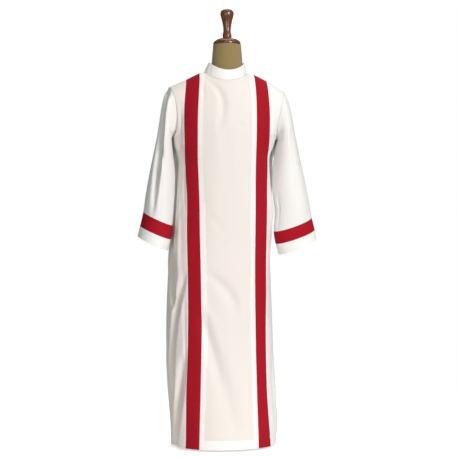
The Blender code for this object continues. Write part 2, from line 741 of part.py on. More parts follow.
def add_sleeves(materials, parent):
    """Each sleeve's upper part, red band and cuff, open tubes end to end."""
    last = len(RIGHT_SLEEVE) - 1
    parts = (
        ("sleeve", "white_cloth", 0, BAND_TOP_LOOP),
        ("sleeve_band", "red_cloth", BAND_TOP_LOOP, BAND_BOTTOM_LOOP),
        ("cuff", "white_cloth", BAND_BOTTOM_LOOP, last),
    )
    sides = (
        ("right", RIGHT_SLEEVE, RIGHT_SLEEVE_FOLDS, -1),
        ("left", LEFT_SLEEVE, LEFT_SLEEVE_FOLDS, 1),
    )
    for side_name, sleeve, folds, side in sides:
        walls = sleeve_walls(sleeve, folds, side)
        for part, finish, top, end in parts:
            name = f"{part}_{side_name}"
            trimmed = []
            for wall in walls:
                loops = [list(loop) for loop in wall[top:end + 1]]
                for edge, neighbour in ((0, 1), (-1, -2)):
                    plain, beside = wall[top:end + 1][edge], wall[top:end + 1][neighbour]
                    if edge == 0 and top == 0:
                        continue
                    loops[edge] = [
                        p + (q - p).normalized() * SEAM_GAP / 2 for p, q in zip(plain, beside)
                    ]
                trimmed.append([list(column) for column in zip(*loops)])
            mesh = wall_mesh(name, trimmed[0], trimmed[1], closed=True)
            add_piece(name, mesh, materials[finish], parent)


def neck_angles():
    """Angles round the neckline at which the panels have their columns, from the centre back."""
    back_step = 90 / BACK_NECK_COLUMNS
    front_count = CENTRE_COLUMNS - 2
    angles = [-180 + back_step * i for i in range(BACK_NECK_COLUMNS)]
    angles += [-90 + 180 * i / front_count for i in range(front_count)]
    angles += [90 + back_step * i for i in range(BACK_NECK_COLUMNS + 1)]
    return angles


def add_collar(material, parent):
    """Stand collar: a band on the panels' neckline whose ends meet at the centre back."""
    end = math.degrees(SEAM_GAP / 2 / NECKLINE_HALF_DEPTH)
    angles = neck_angles()
    angles[0], angles[-1] = -180 + end, 180 - end
    feet = [(angle, neckline(angle)) for angle in angles]
    halfway = [((a + b) / 2, p.lerp(q, 0.5)) for (a, p), (b, q) in zip(feet, feet[1:])]
    feet = sorted(feet + halfway, key=lambda foot: foot[0])
    outer, inner = [], []
    for angle, point in feet:
        a = math.radians(angle)
        out = Vector((math.sin(a), -math.cos(a), 0))
        foot = point + Vector((0, 0, SEAM_GAP / 2))
        head = collar_top(angle)
        column = [foot.lerp(head, row / COLLAR_ROWS) for row in range(COLLAR_ROWS + 1)]
        outer.append(column)
        inner.append([step - out * CLOTH_THICKNESS for step in column])
    add_piece("collar", wall_mesh("collar", outer, inner, closed=False), material, parent)


def torso_mesh():
    """Linen torso and neck, lofted through its sections."""
    columns = []
    for s in range(TORSO_SEGMENTS):
        a = 2 * math.pi * s / TORSO_SEGMENTS
        column = []
        for section in TORSO_SECTIONS:
            across = abs(math.cos(a) / section.half_width) ** TORSO_SQUARENESS
            deep = abs(math.sin(a) / section.half_depth) ** TORSO_SQUARENESS
            oval_radius = (across + deep) ** (-1 / TORSO_SQUARENESS)
            radius = (oval_radius**NECK_BLEND + section.neck_radius**NECK_BLEND) ** (1 / NECK_BLEND)
            column.append(Vector((
                radius * math.cos(a), section.centre_y + radius * math.sin(a), section.height,
            )))
        columns.append(column)
    mesh = bpy.data.meshes.new("form_torso")
    bm = bmesh.new()
    verts = [[bm.verts.new(p) for p in column] for column in columns]
    for s in range(TORSO_SEGMENTS):
        a, b = verts[s], verts[(s + 1) % TORSO_SEGMENTS]
        for r in range(len(TORSO_SECTIONS) - 1):
            bm.faces.new((a[r], b[r], b[r + 1], a[r + 1]))
    bm.faces.new([column[0] for column in verts])
    bm.faces.new([column[-1] for column in verts])
    bmesh.ops.recalc_face_normals(bm, faces=bm.faces)
    bm.to_mesh(mesh)
    bm.free()
    return mesh


def add_form(materials, parent):
    """Torso, wooden cap and finial, pole and base, each resting on the one below."""
    wood = materials["turned_wood"]
    pole = [
        Turned(POLE_RADIUS, BASE_OUTLINE[-1].height + REST_GAP),
        Turned(POLE_RADIUS, TORSO_SECTIONS[0].height - REST_GAP),
    ]
    add_piece("form_torso", torso_mesh(), materials["linen"], parent)
    add_piece("form_cap", turned_mesh("form_cap", CAP_OUTLINE, CAP_SEGMENTS), wood, parent)
    add_piece("form_finial", turned_mesh("form_finial", FINIAL_OUTLINE, FINIAL_SEGMENTS), wood, parent)
    add_piece("form_pole", turned_mesh("form_pole", pole, POLE_SEGMENTS), wood, parent)
    add_piece("form_base", turned_mesh("form_base", BASE_OUTLINE, BASE_SEGMENTS), wood, parent)


def main():
    for thing in list(bpy.data.objects):
        bpy.data.objects.remove(thing)
    materials = make_materials()
    robe = bpy.data.objects.new("robe_on_form", None)
    bpy.context.scene.collection.objects.link(robe)
    add_body(materials, robe)
    add_sleeves(materials, robe)
    add_collar(materials["white_cloth"], robe)
    add_form(materials, robe)


main()
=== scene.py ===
import math
from collections import namedtuple

import bpy
import numpy as np
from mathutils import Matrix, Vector


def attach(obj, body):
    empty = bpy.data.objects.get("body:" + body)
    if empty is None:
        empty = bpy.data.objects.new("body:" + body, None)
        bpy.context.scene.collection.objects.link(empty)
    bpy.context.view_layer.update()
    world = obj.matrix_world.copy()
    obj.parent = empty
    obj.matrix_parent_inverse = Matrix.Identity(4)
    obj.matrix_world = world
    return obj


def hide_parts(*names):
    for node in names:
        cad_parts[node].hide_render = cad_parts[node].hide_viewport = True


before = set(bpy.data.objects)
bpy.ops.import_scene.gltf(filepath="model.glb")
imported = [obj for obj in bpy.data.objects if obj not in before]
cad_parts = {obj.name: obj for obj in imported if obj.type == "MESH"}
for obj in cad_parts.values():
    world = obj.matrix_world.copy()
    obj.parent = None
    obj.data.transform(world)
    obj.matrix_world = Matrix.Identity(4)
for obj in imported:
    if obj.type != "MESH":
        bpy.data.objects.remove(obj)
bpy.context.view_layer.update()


def table(columns, rows):
    """Rows with named columns; a smooth curve through them runs along the first column."""
    Row = namedtuple("Row", columns)
    return [Row(*row) for row in rows]


# The robe's front faces -Y and the wearer's right is -X. "Turn" is an angle round the body in
# degrees: 0 at the centre front, -90 and +90 at the side seams, 180 at the centre back.

# Camera: the photograph's angle, with the form's axis a little left of the picture's middle
CAMERA_AZIMUTH = -7.0
CAMERA_DISTANCE = 4.0
CAMERA_HEIGHT = 0.7524
CAMERA_SIDESTEP = 0.0067
METRES_PER_PIXEL = 0.0035
PICTURE_PIXELS = 458
SENSOR_WIDTH = 36.0

# Studio
FLOOR_SOLID_RADIUS = 0.45
FLOOR_FADE_RADIUS = 1.7
AMBIENT_IN_FRONT = (0.19, 0.205, 0.20, 1.0)
AMBIENT_BEHIND = (0.19, 0.24, 0.23, 1.0)
FLOOR_GLOW = 0.62
LIGHTS = table("name place target size power colour", [
    ("key", (1.75, -3.8, 2.1), (0, 0, 0.80), (1.4, 1.8), 140, (1.0, 0.975, 0.955)),
    ("fill", (-1.6, -3.9, 1.2), (0, 0, 0.80), (1.6, 1.6), 40, (1.0, 0.985, 0.965)),
    ("back_light", (0.8, 4.2, 2.3), (0, 0, 0.80), (2.4, 2.0), 90, (0.98, 1.0, 0.99)),
    ("top", (0.3, 0.2, 4.0), (0, 0, 0), (2.4, 2.4), 38, (1.0, 0.98, 0.96)),
])

# Colours, and the cloths made of them; the thread pitch and the relief are in metres
WHITE = (0.845, 0.832, 0.822, 1.0)
# Painted shade: a darker, warmer copy of the white cloth, used on the centre panel and the wearer's-right
# front side panel; the rest of the robe takes the plain white
WARM_WHITE_PAINTED_SHADE = (0.815, 0.757, 0.718, 1.0)
WHITE_DOUBLE = (0.915, 0.895, 0.882, 1.0)
WHITE_THREAD = (0.86, 0.84, 0.81, 1.0)
RED = (0.385, 0.006, 0.017, 1.0)
RED_DOUBLE = (0.37, 0.006, 0.016, 1.0)
RED_THREAD = (0.22, 0.004, 0.009, 1.0)
KHAKI = (0.30, 0.22, 0.090, 1.0)
DARK_GRAIN = (0.055, 0.014, 0.005, 1.0)
LIGHT_GRAIN = (0.235, 0.075, 0.018, 1.0)
WOOD_TINT = (0.140, 0.034, 0.010, 1.0)
FLOOR_PALE = (0.92, 0.90, 0.905, 1.0)
FLOOR_PALEST = (0.95, 0.93, 0.935, 1.0)
PURE_WHITE = (1.0, 1.0, 1.0, 1.0)
CLOTHS = table("name single double roughness sheen pitch relief", [
    ("white_cloth", WHITE, WHITE_DOUBLE, 0.75, 0.12, 0.0007, 0.00012),
    # the same white cloth with painted shade, darker and warmer
    ("white_over_form", WARM_WHITE_PAINTED_SHADE, WHITE_DOUBLE, 0.75, 0.12, 0.0007, 0.00012),
    ("red_cloth", RED, RED_DOUBLE, 0.80, 0.0, 0.0007, 0.00012),
    ("linen", KHAKI, KHAKI, 0.85, 0.3, 0.0011, 0.0003),
])

# Finishes: scales of the noises for each metre, shares, and strengths of the reliefs
SLUB_SCALE = 160.0
DRIFT_SCALE = 6.0
UNEVENNESS = 0.18
UNEVEN_DARKENING = 0.93
WEAVE_STRENGTH = 0.6
SLUB_STRENGTH = 0.35
TWIST_SCALE = 1800.0
TWIST_DARKENING = 0.85
GRAIN_STRETCH = (60.0, 60.0, 7.0)
GRAIN_SCALE = 3.0
GRAIN_DETAIL = 6.0
GRAIN_RELIEF = 0.0002
GRAIN_STRENGTH = 0.25
CLOUD_SCALE = 22.0
CLOUD_SHARE = 0.5
FLOOR_SPOT_SCALE = 4.0

# Cloth
CLOTH_THICKNESS = 0.0012
SEAM_GAP = 0.0002
SEAM_TUCK = 0.0005
SEAM_TUCK_WIDTH = 0.0014
SLEEVE_HEAD_TUCK = 0.0009
LAYER_RISE = 0.0004
ALLOWANCE_WIDTH = 0.0185
HEM_DEPTH = 0.031
SIDE_HEM_SHOW = 0.35
HEM_GROOVE = 0.0006
HEM_GROOVE_HALF_WIDTH = 0.001
HEM_EDGE_STEP = 0.0008
LAYER_EDGE_HALF = 0.0005
LEAST_COLUMN_SHARE = 0.25
TOUCHING = 1e-6
SHARP_ANGLE = 50
WRINKLE_DEPTH = 0.0005
WRINKLE_WAVES = 14
WRINKLE_LENGTHS = (0.05, 0.16)
WRINKLE_SLANT = 0.45
BODY_WRINKLE_STRETCH = 0.35
SLEEVE_WRINKLE_STRETCH = 0.02
FRONT_SEED = 7
BACK_SEED = 11
SLEEVE_SEED = 23

# Body of the robe, a rounded oblong in plan that grows towards the hem
HEM_HEIGHT = 0.008
ARMPIT_HEIGHT = 1.075
BODY_SQUARENESS = 2.3
SIDE_SEAM_Y = 0.005
SHOULDER_SEAM_Y = 0.0
LOWER_ROWS = 170
UPPER_ROWS = 46
BODY_SECTIONS = table("height right_side left_side front back", [
    (0.008, -0.196, 0.172, -0.155, 0.150),
    (0.080, -0.198, 0.176, -0.153, 0.149),
    (0.185, -0.206, 0.170, -0.149, 0.146),
    (0.300, -0.212, 0.163, -0.145, 0.142),
    (0.450, -0.212, 0.157, -0.140, 0.137),
    (0.600, -0.206, 0.152, -0.134, 0.131),
    (0.650, -0.2045, 0.151, -0.132, 0.129),
    (0.700, -0.1995, 0.1545, -0.130, 0.127),
    (0.760, -0.1920, 0.159, -0.128, 0.124),
    (0.830, -0.1845, 0.163, -0.126, 0.121),
    (0.890, -0.1783, 0.154, -0.125, 0.118),
    (0.940, -0.1740, 0.150, -0.124, 0.117),
    (0.980, -0.1712, 0.148, -0.123, 0.116),
    (1.010, -0.1760, 0.150, -0.123, 0.115),
    (1.040, -0.1850, 0.162, -0.122, 0.114),
    (1.075, -0.1890, 0.172, -0.122, 0.112),
])

# Edges of the two red front bands, as distances across the front
BAND_EDGES = table("height right_outer right_inner left_inner left_outer", [
    (0.008, -0.1545, -0.111, 0.092, 0.139),
    (0.183, -0.153, -0.107, 0.087, 0.126),
    (0.370, -0.148, -0.103, 0.084, 0.123),
    (0.550, -0.147, -0.104, 0.083, 0.125),
    (0.735, -0.149, -0.107, 0.084, 0.128),
    (0.850, -0.148, -0.108, 0.085, 0.130),
    (0.940, -0.152, -0.111, 0.086, 0.134),
    (1.020, -0.155, -0.113, 0.088, 0.138),
    (1.160, -0.157, -0.111, 0.090, 0.141),
    (1.285, -0.145, -0.100, 0.091, 0.137),
])

# Shoulder seam, from the armhole's top on the wearer's right to the one on the left
SHOULDER_LINE = table("across height", [
    (-0.205, 1.2445),
    (-0.183, 1.260),
    (-0.144, 1.272),
    (-0.098, 1.296),
    (-0.081, 1.298),
    (0.067, 1.298),
    (0.093, 1.293),
    (0.138, 1.272),
    (0.170, 1.252),
    (0.2015, 1.2335),
])

# Neckline and the stand collar on it: middle, half width and depth, and heights at front, side and back
NeckLoop = namedtuple("NeckLoop", "x half_width half_depth front side back")
NECKLINE = NeckLoop(-0.007, 0.074, 0.070, 1.265, 1.298, 1.303)
COLLAR_TOP = NeckLoop(-0.002, 0.0622, 0.0605, 1.302, 1.334, 1.338)
NECK_LOOP_CURVE = 1.5
NECKLINE_FRONT_SLOPE = 30.0
COLLAR_THICKNESS = 0.0022
COLLAR_FOOT_RISE = 0.0005
COLLAR_BULGE = 0.0012
COLLAR_STEPS = 120
COLLAR_ROWS = 12
COLLAR_CREASES = table("angle half_angle depth", [
    (-58, 5, 0.0016),
    (-41, 4, 0.0013),
    (52, 5, 0.0009),
    (150, 6, 0.0010),
    (-146, 6, 0.0010),
])

# Columns of the panels, and the usual widths of what they divide
CENTRE_COLUMNS = 44
BAND_COLUMNS = 10
SIDE_COLUMNS = 28
BACK_MIDDLE_COLUMNS = 36
BACK_SIDE_COLUMNS = 20
CENTRE_WIDTH = 0.200
BAND_WIDTH = 0.050
SIDE_WIDTH = 0.11
BACK_MIDDLE_WIDTH = 0.16

# Shares of the top edges: of the centre panel's at each end on the shoulder seam, and of a back
# panel's up to the neckline's side and up to the red band's inner edge
CENTRE_SHOULDER_SHARE = 1 / 12
BACK_NECK_SHARE = 4 / 6
BACK_INNER_SHARE = 5 / 6

# Sleeves: loops from an inner point, on the body's side, to an outer one; the first is the armhole
RIGHT_ARMHOLE_BOW = 0.0155
LEFT_ARMHOLE_BOW = 0.007
SLEEVE_COLUMNS = "number outer_x outer_z inner_x inner_z half_depth centre_y"
RIGHT_SLEEVE = table(SLEEVE_COLUMNS, [
    (0, -0.205, 1.2445, -0.189, 1.075, 0.060, 0.002),
    (1, -0.218, 1.220, -0.193, 1.071, 0.062, 0.001),
    (2, -0.228, 1.180, -0.195, 1.062, 0.062, -0.001),
    (3, -0.236, 1.130, -0.194, 1.044, 0.062, -0.004),
    (4, -0.245, 1.076, -0.191, 1.014, 0.062, -0.008),
    (5, -0.258, 1.015, -0.1845, 0.962, 0.063, -0.012),
    (6, -0.272, 0.946, -0.1845, 0.900, 0.064, -0.016),
    (7, -0.285, 0.874, -0.1888, 0.832, 0.066, -0.020),
    (8, -0.294, 0.811, -0.1935, 0.766, 0.067, -0.022),
    (9, -0.305, 0.763, -0.1985, 0.718, 0.068, -0.023),
    (10, -0.314, 0.728, -0.208, 0.680, 0.068, -0.024),
])
LEFT_SLEEVE = table(SLEEVE_COLUMNS, [
    (0, 0.2015, 1.2335, 0.172, 1.075, 0.060, 0.002),
    (1, 0.2145, 1.203, 0.176, 1.071, 0.062, 0.001),
    (2, 0.2275, 1.152, 0.177, 1.062, 0.062, -0.001),
    (3, 0.236, 1.102, 0.1725, 1.044, 0.061, -0.004),
    (4, 0.246, 1.052, 0.166, 1.008, 0.059, -0.008),
    (5, 0.257, 0.994, 0.159, 0.954, 0.058, -0.012),
    (6, 0.270, 0.932, 0.1575, 0.892, 0.056, -0.016),
    (7, 0.284, 0.858, 0.166, 0.816, 0.055, -0.020),
    (8, 0.2955, 0.793, 0.162, 0.745, 0.054, -0.022),
    (9, 0.306, 0.751, 0.168, 0.702, 0.054, -0.023),
    (10, 0.312, 0.719, 0.178, 0.665, 0.054, -0.024),
])
SLEEVE_FRONT_SAG = 0.008
SLEEVE_HEAD_LOOPS = 0.02
SLEEVE_SEAM_LOOPS = 0.012
BAND_TOP_LOOP = 8
BAND_BOTTOM_LOOP = 9
SLEEVE_STEPS = 128
SLEEVE_ROWS = 110
SLEEVE_BAND_ROWS = 14
CUFF_ROWS = 14

# Folds of the body: soft troughs along a bent path, widths and depths in metres; a negative depth
# is a ridge
METRES_PER_DEGREE = 0.0029
FOLD_PATH_STEPS = 41
FOLD_BANK = 0.6
BODY_FOLD_ENDS = 0.05
FADE_TO_SHOULDER = 6
FADE_TO_ARMHOLE = 4
SLEEVE_FOLD_EASE = 0.3
SLEEVE_FOLD_START = 0.7
BODY_FOLD_COLUMNS = "turn_a z_a turn_b z_b turn_c z_c half_width depth"
BODY_FOLDS = table(BODY_FOLD_COLUMNS, [
    (-15, 0.605, 3, 0.540, 11, 0.462, 0.019, 0.009),
    (-23, 0.460, -8, 0.310, 2, 0.080, 0.021, 0.0125),
    (-19, 1.266, -5, 1.200, -9, 1.090, 0.013, 0.008),
    (-45, 0.590, -61, 0.410, -71, 0.180, 0.016, 0.032),
    (-45, 0.310, -58, 0.150, -80, -0.040, 0.018, 0.036),
    (-90, 0.870, -79, 0.690, -65, 0.500, 0.022, 0.046),
    (-70, 0.860, -58, 0.700, -53, 0.560, 0.013, -0.006),
    (70, 0.330, 66, 0.170, 72, -0.060, 0.018, 0.007),
    (112, 0.560, 118, 0.300, 114, -0.060, 0.024, 0.013),
    (146, 0.700, 150, 0.380, 143, -0.060, 0.024, 0.014),
    (178, 0.520, 172, 0.300, 175, -0.060, 0.022, 0.010),
    (-152, 0.640, -148, 0.340, -155, -0.060, 0.024, 0.014),
    (-118, 0.600, -124, 0.330, -118, -0.060, 0.024, 0.013),
    (150, 1.180, 160, 1.060, 158, 0.900, 0.018, 0.007),
    (-142, 1.190, -154, 1.040, -160, 0.860, 0.018, 0.007),
    (-60, 1.170, -63, 1.090, -67, 1.000, 0.020, 0.008),
    (108, 1.140, 108, 1.000, 107, 0.800, 0.028, -0.031),
    (-110, 1.140, -110, 0.995, -109, 0.800, 0.028, -0.026),
])
BODY_CREASES = table(BODY_FOLD_COLUMNS, [
    (-27, 1.265, -25, 1.235, -24, 1.195, 0.007, 0.0025),
    (6, 1.115, 10, 1.106, 15, 1.092, 0.010, 0.0015),
    (-20, 0.806, -11, 0.776, -2, 0.735, 0.016, 0.0020),
    (24, 0.550, 26, 0.525, 25, 0.495, 0.006, 0.0018),
    (24, 0.430, 23, 0.410, 21, 0.388, 0.006, 0.0015),
    (27, 0.240, 24, 0.170, 17, 0.085, 0.007, 0.0018),
    (-22, 0.520, -14, 0.470, -4, 0.420, 0.012, -0.0020),
    (-62, 0.970, -58, 0.895, -53, 0.815, 0.006, 0.0085),
    (-57, 0.840, -65, 0.800, -72, 0.750, 0.014, 0.0040),
    (-60, 1.045, -68, 1.022, -80, 1.000, 0.007, 0.0040),
    (-43, 0.520, -42, 0.390, -42, 0.270, 0.006, 0.0065),
    (62, 1.040, 70, 0.960, 66, 0.860, 0.010, 0.0020),
    (-86, 0.420, -88, 0.260, -82, 0.080, 0.014, 0.0050),
    (-100, 0.780, -104, 0.560, -98, 0.330, 0.016, 0.0060),
    (96, 0.760, 100, 0.520, 94, 0.300, 0.016, 0.0060),
    (132, 0.420, 130, 0.240, 134, 0.020, 0.014, 0.0050),
    (-136, 0.400, -138, 0.230, -134, 0.020, 0.014, 0.0050),
    (165, 0.900, 168, 0.800, 160, 0.660, 0.014, 0.0040),
    (-168, 0.860, -164, 0.740, -170, 0.600, 0.014, 0.0040),
])

# Folds of the sleeves: angles round the loop at their start, middle and end (0 armpit side, 180 outer
# side, negative behind), the loops where they start and end, and half widths at both
SLEEVE_FOLD_COLUMNS = "start middle end loop_start loop_end half_start half_end depth"
RIGHT_SLEEVE_FOLDS = table(SLEEVE_FOLD_COLUMNS, [
    (186, 135, 119, -1.5, 8.1, 0.033, 0.010, 0.036),
    (132, 106, 102, -1.0, 8.1, 0.014, 0.010, -0.008),
    (110, 100, 88, 4.0, 5.8, 0.006, 0.006, 0.0050),
    (-112, -104, -96, 0.8, 7.0, 0.016, 0.016, 0.008),
    (-60, -63, -66, 2.6, 8.8, 0.012, 0.012, 0.004),
])
LEFT_SLEEVE_FOLDS = table(SLEEVE_FOLD_COLUMNS, [
    (123, 86, 72, 0.5, 4.2, 0.008, 0.008, 0.0015),
    (38, 34, 30, 6.0, 8.2, 0.007, 0.007, 0.0025),
    (118, 112, 108, 2.0, 7.6, 0.014, 0.014, 0.0020),
    (-112, -106, -100, 0.8, 7.4, 0.016, 0.016, 0.008),
    (-60, -63, -66, 2.6, 8.8, 0.012, 0.012, 0.004),
])

# Dress form: linen torso, an oval at each height with the round neck rising out of it
TORSO_SQUARENESS = 2.15
NECK_BLEND = 6
TORSO_STEPS = 112
TORSO_ROWS = 150
TORSO_SECTIONS = table("height half_width half_depth centre_y neck_radius", [
    (0.6400, 0.1120, 0.0820, 0.004, 0.0),
    (0.6440, 0.1240, 0.0930, 0.004, 0.0),
    (0.6550, 0.1310, 0.1000, 0.004, 0.0),
    (0.7200, 0.1370, 0.1050, 0.004, 0.0),
    (0.7900, 0.1330, 0.1020, 0.002, 0.0),
    (0.8600, 0.1210, 0.0940, -0.001, 0.0),
    (0.9300, 0.1160, 0.0900, -0.003, 0.0),
    (1.0000, 0.1260, 0.0970, -0.005, 0.0),
    (1.0700, 0.1380, 0.1020, -0.006, 0.0),
    (1.1300, 0.1480, 0.0940, -0.004, 0.0),
    (1.1800, 0.1560, 0.0800, -0.002, 0.040),
    (1.2200, 0.1550, 0.0660, 0.000, 0.055),
    (1.2450, 0.1500, 0.0540, 0.000, 0.056),
    (1.2620, 0.1400, 0.0430, 0.000, 0.056),
    (1.2720, 0.1280, 0.0370, 0.000, 0.056),
    (1.2806, 0.1140, 0.0310, 0.000, 0.056),
    (1.2870, 0.0820, 0.0300, 0.000, 0.056),
    (1.2930, 0.0520, 0.0300, 0.000, 0.056),
    (1.3020, 0.0400, 0.0300, 0.000, 0.0555),
    (1.3360, 0.0300, 0.0300, 0.000, 0.0536),
    (1.3960, 0.0300, 0.0300, 0.000, 0.0484),
])

# Turned wood: radius and height of each step of the outline
TURNED_STEPS = 96
TURNED_SUBSTEPS = 6
TURNED_COLUMNS = "radius height"
CAP_OUTLINE = table(TURNED_COLUMNS, [
    (0.0455, 1.3963),
    (0.0482, 1.3975),
    (0.0486, 1.4000),
    (0.0478, 1.4045),
    (0.0445, 1.4095),
    (0.0385, 1.4140),
    (0.0300, 1.4175),
    (0.0200, 1.4200),
    (0.0165, 1.4208),
])
FINIAL_OUTLINE = table(TURNED_COLUMNS, [
    (0.0150, 1.4211),
    (0.0160, 1.4245),
    (0.0158, 1.4300),
    (0.0146, 1.4380),
    (0.0132, 1.4460),
    (0.0140, 1.4580),
    (0.0166, 1.4740),
    (0.0203, 1.4890),
    (0.0231, 1.4990),
    (0.0236, 1.5060),
    (0.0222, 1.5125),
    (0.0182, 1.5175),
    (0.0110, 1.5207),
    (0.0040, 1.5217),
])
POLE_OUTLINE = table(TURNED_COLUMNS, [
    (0.016, 0.0603),
    (0.016, 0.200),
    (0.016, 0.6397),
])
BASE_OUTLINE = table(TURNED_COLUMNS, [
    (0.1080, 0.0000),
    (0.1100, 0.0030),
    (0.1100, 0.0150),
    (0.1070, 0.0200),
    (0.0600, 0.0280),
    (0.0320, 0.0340),
    (0.0270, 0.0450),
    (0.0250, 0.0600),
])

# Stitches of the hems
STITCH_PITCH = 0.0036
STITCH_LENGTH = 0.0024
STITCH_WIDTH = 0.0005
STITCH_RISE = 0.00025
STITCH_TOP = 0.6

# Flat size of what shows of each piece, all round on a tube: width, length and area
CUTS = {row.name: row for row in table("name width length area", [
    ("front_centre_panel", 0.22, 1.30, 0.262),
    ("front_band_right", 0.060, 1.34, 0.0700),
    ("front_band_left", 0.060, 1.34, 0.0740),
    ("front_side_panel_right", 0.17, 1.30, 0.168),
    ("front_side_panel_left", 0.13, 1.30, 0.119),
    ("back_panel_right", 0.30, 1.34, 0.335),
    ("back_panel_left", 0.30, 1.34, 0.340),
    ("sleeve_right", 0.44, 0.44, 0.150),
    ("sleeve_left", 0.44, 0.44, 0.150),
    ("sleeve_band_right", 0.42, 0.05, 0.0200),
    ("sleeve_band_left", 0.42, 0.05, 0.0200),
    ("cuff_right", 0.42, 0.04, 0.0156),
    ("cuff_left", 0.42, 0.04, 0.0156),
    ("collar", 0.46, 0.045, 0.0169),
])}


def curve(rows, field, at):
    """Values of a table's column on a smooth curve along its first one."""
    keys = np.array([row[0] for row in rows], dtype=float)
    values = np.array([getattr(row, field) for row in rows], dtype=float)
    slopes = np.empty(len(keys))
    slopes[1:-1] = (values[2:] - values[:-2]) / (keys[2:] - keys[:-2])
    slopes[0] = (values[1] - values[0]) / (keys[1] - keys[0])
    slopes[-1] = (values[-1] - values[-2]) / (keys[-1] - keys[-2])
    at = np.clip(at, keys[0], keys[-1])
    i = np.clip(np.searchsorted(keys, at) - 1, 0, len(keys) - 2)
    span = keys[i + 1] - keys[i]
    t = (at - keys[i]) / span
    return (
        values[i] * (2 * t**3 - 3 * t**2 + 1)
        + span * slopes[i] * (t**3 - 2 * t**2 + t)
        + values[i + 1] * (3 * t**2 - 2 * t**3)
        + span * slopes[i + 1] * (t**3 - t**2)
    )


def curves(rows, at, *fields):
    return [curve(rows, field, at) for field in fields]


def signed_power(value, power):
    return np.sign(value) * np.abs(value) ** power


def points(x, y, z):
    """Array of points from arrays of their coordinates."""
    return np.stack(np.broadcast_arrays(x, y, z), axis=-1).astype(float)


def unit(vectors):
    return vectors / np.maximum(np.linalg.norm(vectors, axis=-1, keepdims=True), 1e-12)


def body_at(z, *fields):
    """Columns of the body's sections at heights, and the armpit's values above it."""
    return curves(BODY_SECTIONS, np.minimum(z, ARMPIT_HEIGHT), *fields)


def body_ring(z, turn):
    """Points of the body's plain outer surface at heights up to the armpit."""
    right, left, front, back = body_at(z, "right_side", "left_side", "front", "back")
    depth = np.where(np.abs(turn) <= 90, SIDE_SEAM_Y - front, back - SIDE_SEAM_Y)
    power = 2 / BODY_SQUARENESS
    angle = np.radians(turn)
    x = (left + right) / 2 + (left - right) / 2 * signed_power(np.sin(angle), power)
    y = SIDE_SEAM_Y - depth * signed_power(np.cos(angle), power)
    return points(x, y, z)


def turn_at(z, x, behind):
    """Turn of the point at a distance across, on the front or the back."""
    right, left = body_at(z, "right_side", "left_side")
    share = np.clip((x - (left + right) / 2) / ((left - right) / 2), -1, 1)
    turn = np.degrees(np.arcsin(signed_power(share, BODY_SQUARENESS / 2)))
    if behind:
        turn = np.where(turn >= 0, 180 - turn, -180 - turn)
    return turn


def centre_x(z):
    right, left = body_at(z, "right_side", "left_side")
    return (right + left) / 2


def neck_point(loop, angle):
    """Point of a loop that dips or rises from its sides to its front and back."""
    a = math.radians(angle)
    lean = math.cos(a)
    end = loop.front if lean > 0 else loop.back
    height = loop.side + (end - loop.side) * abs(lean) ** NECK_LOOP_CURVE
    return np.array((loop.x + loop.half_width * math.sin(a), -loop.half_depth * lean, height))


def shoulder_point(x):
    heights = [p.height for p in SHOULDER_LINE]
    return np.array((x, SHOULDER_SEAM_Y, np.interp(x, [p.across for p in SHOULDER_LINE], heights)))


def lower_heights():
    """Heights of the rows from the hem to the armpit, closer together at the hem's fold."""
    fold = (HEM_DEPTH - HEM_GROOVE, HEM_DEPTH + HEM_GROOVE)
    hem_rows = HEM_HEIGHT + np.array((0.0, HEM_EDGE_STEP, *fold))
    rest = np.linspace(HEM_HEIGHT, ARMPIT_HEIGHT, LOWER_ROWS)
    return np.unique(np.round(np.concatenate((hem_rows, rest[1:])), 6))


def upper_shares():
    return (1 - np.cos(np.pi * np.arange(1, UPPER_ROWS + 1) / UPPER_ROWS)) / 2


def shares(count, width, marks=()):
    """Shares across a strip: even steps, a column just inside each edge, and a pair at each mark."""
    edge = SEAM_TUCK_WIDTH / width
    extra = [edge, 1 - edge]
    for mark in marks:
        extra += [(mark - LAYER_EDGE_HALF) / width, (mark + LAYER_EDGE_HALF) / width]
    even = np.linspace(0, 1, count + 1)
    least = LEAST_COLUMN_SHARE / count
    keep = [s for s in even if min(abs(s - e) for e in extra) > least or s in (0.0, 1.0)]
    return np.array(sorted(keep + extra))


def rising_column(foot, top, slope_angle, across):
    """Points on the chest or back, on an arc from a foot at the armpit's height to a top."""
    share = upper_shares()
    steep = math.radians(90 - slope_angle)
    arc = np.arcsin(share * math.sin(steep))
    z = foot[2] + (top[2] - foot[2]) * share
    y = foot[1] + (top[1] - foot[1]) * (1 - np.cos(arc)) / (1 - math.cos(steep))
    x = across(z) + (top[0] - across(top[2])) * share**3
    return points(x, y, z)


def edge_curve(field):
    return lambda z: curve(BAND_EDGES, field, z)


def between(a, b, share):
    return lambda z: a(z) + (b(z) - a(z)) * share


def centre_top(share):
    """Top point and slope of a column of the front centre panel."""
    seam = CENTRE_SHOULDER_SHARE
    shoulder = BAND_EDGES[-1]
    if share <= seam:
        inward = neck_point(NECKLINE, -90)[0] - shoulder.right_inner
        return shoulder_point(shoulder.right_inner + inward * share / seam), 0.0
    if share >= 1 - seam:
        inward = neck_point(NECKLINE, 90)[0] - shoulder.left_inner
        return shoulder_point(shoulder.left_inner + inward * (1 - share) / seam), 0.0
    angle = -90 + 180 * (share - seam) / (1 - 2 * seam)
    return neck_point(NECKLINE, angle), NECKLINE_FRONT_SLOPE * math.cos(math.radians(angle))


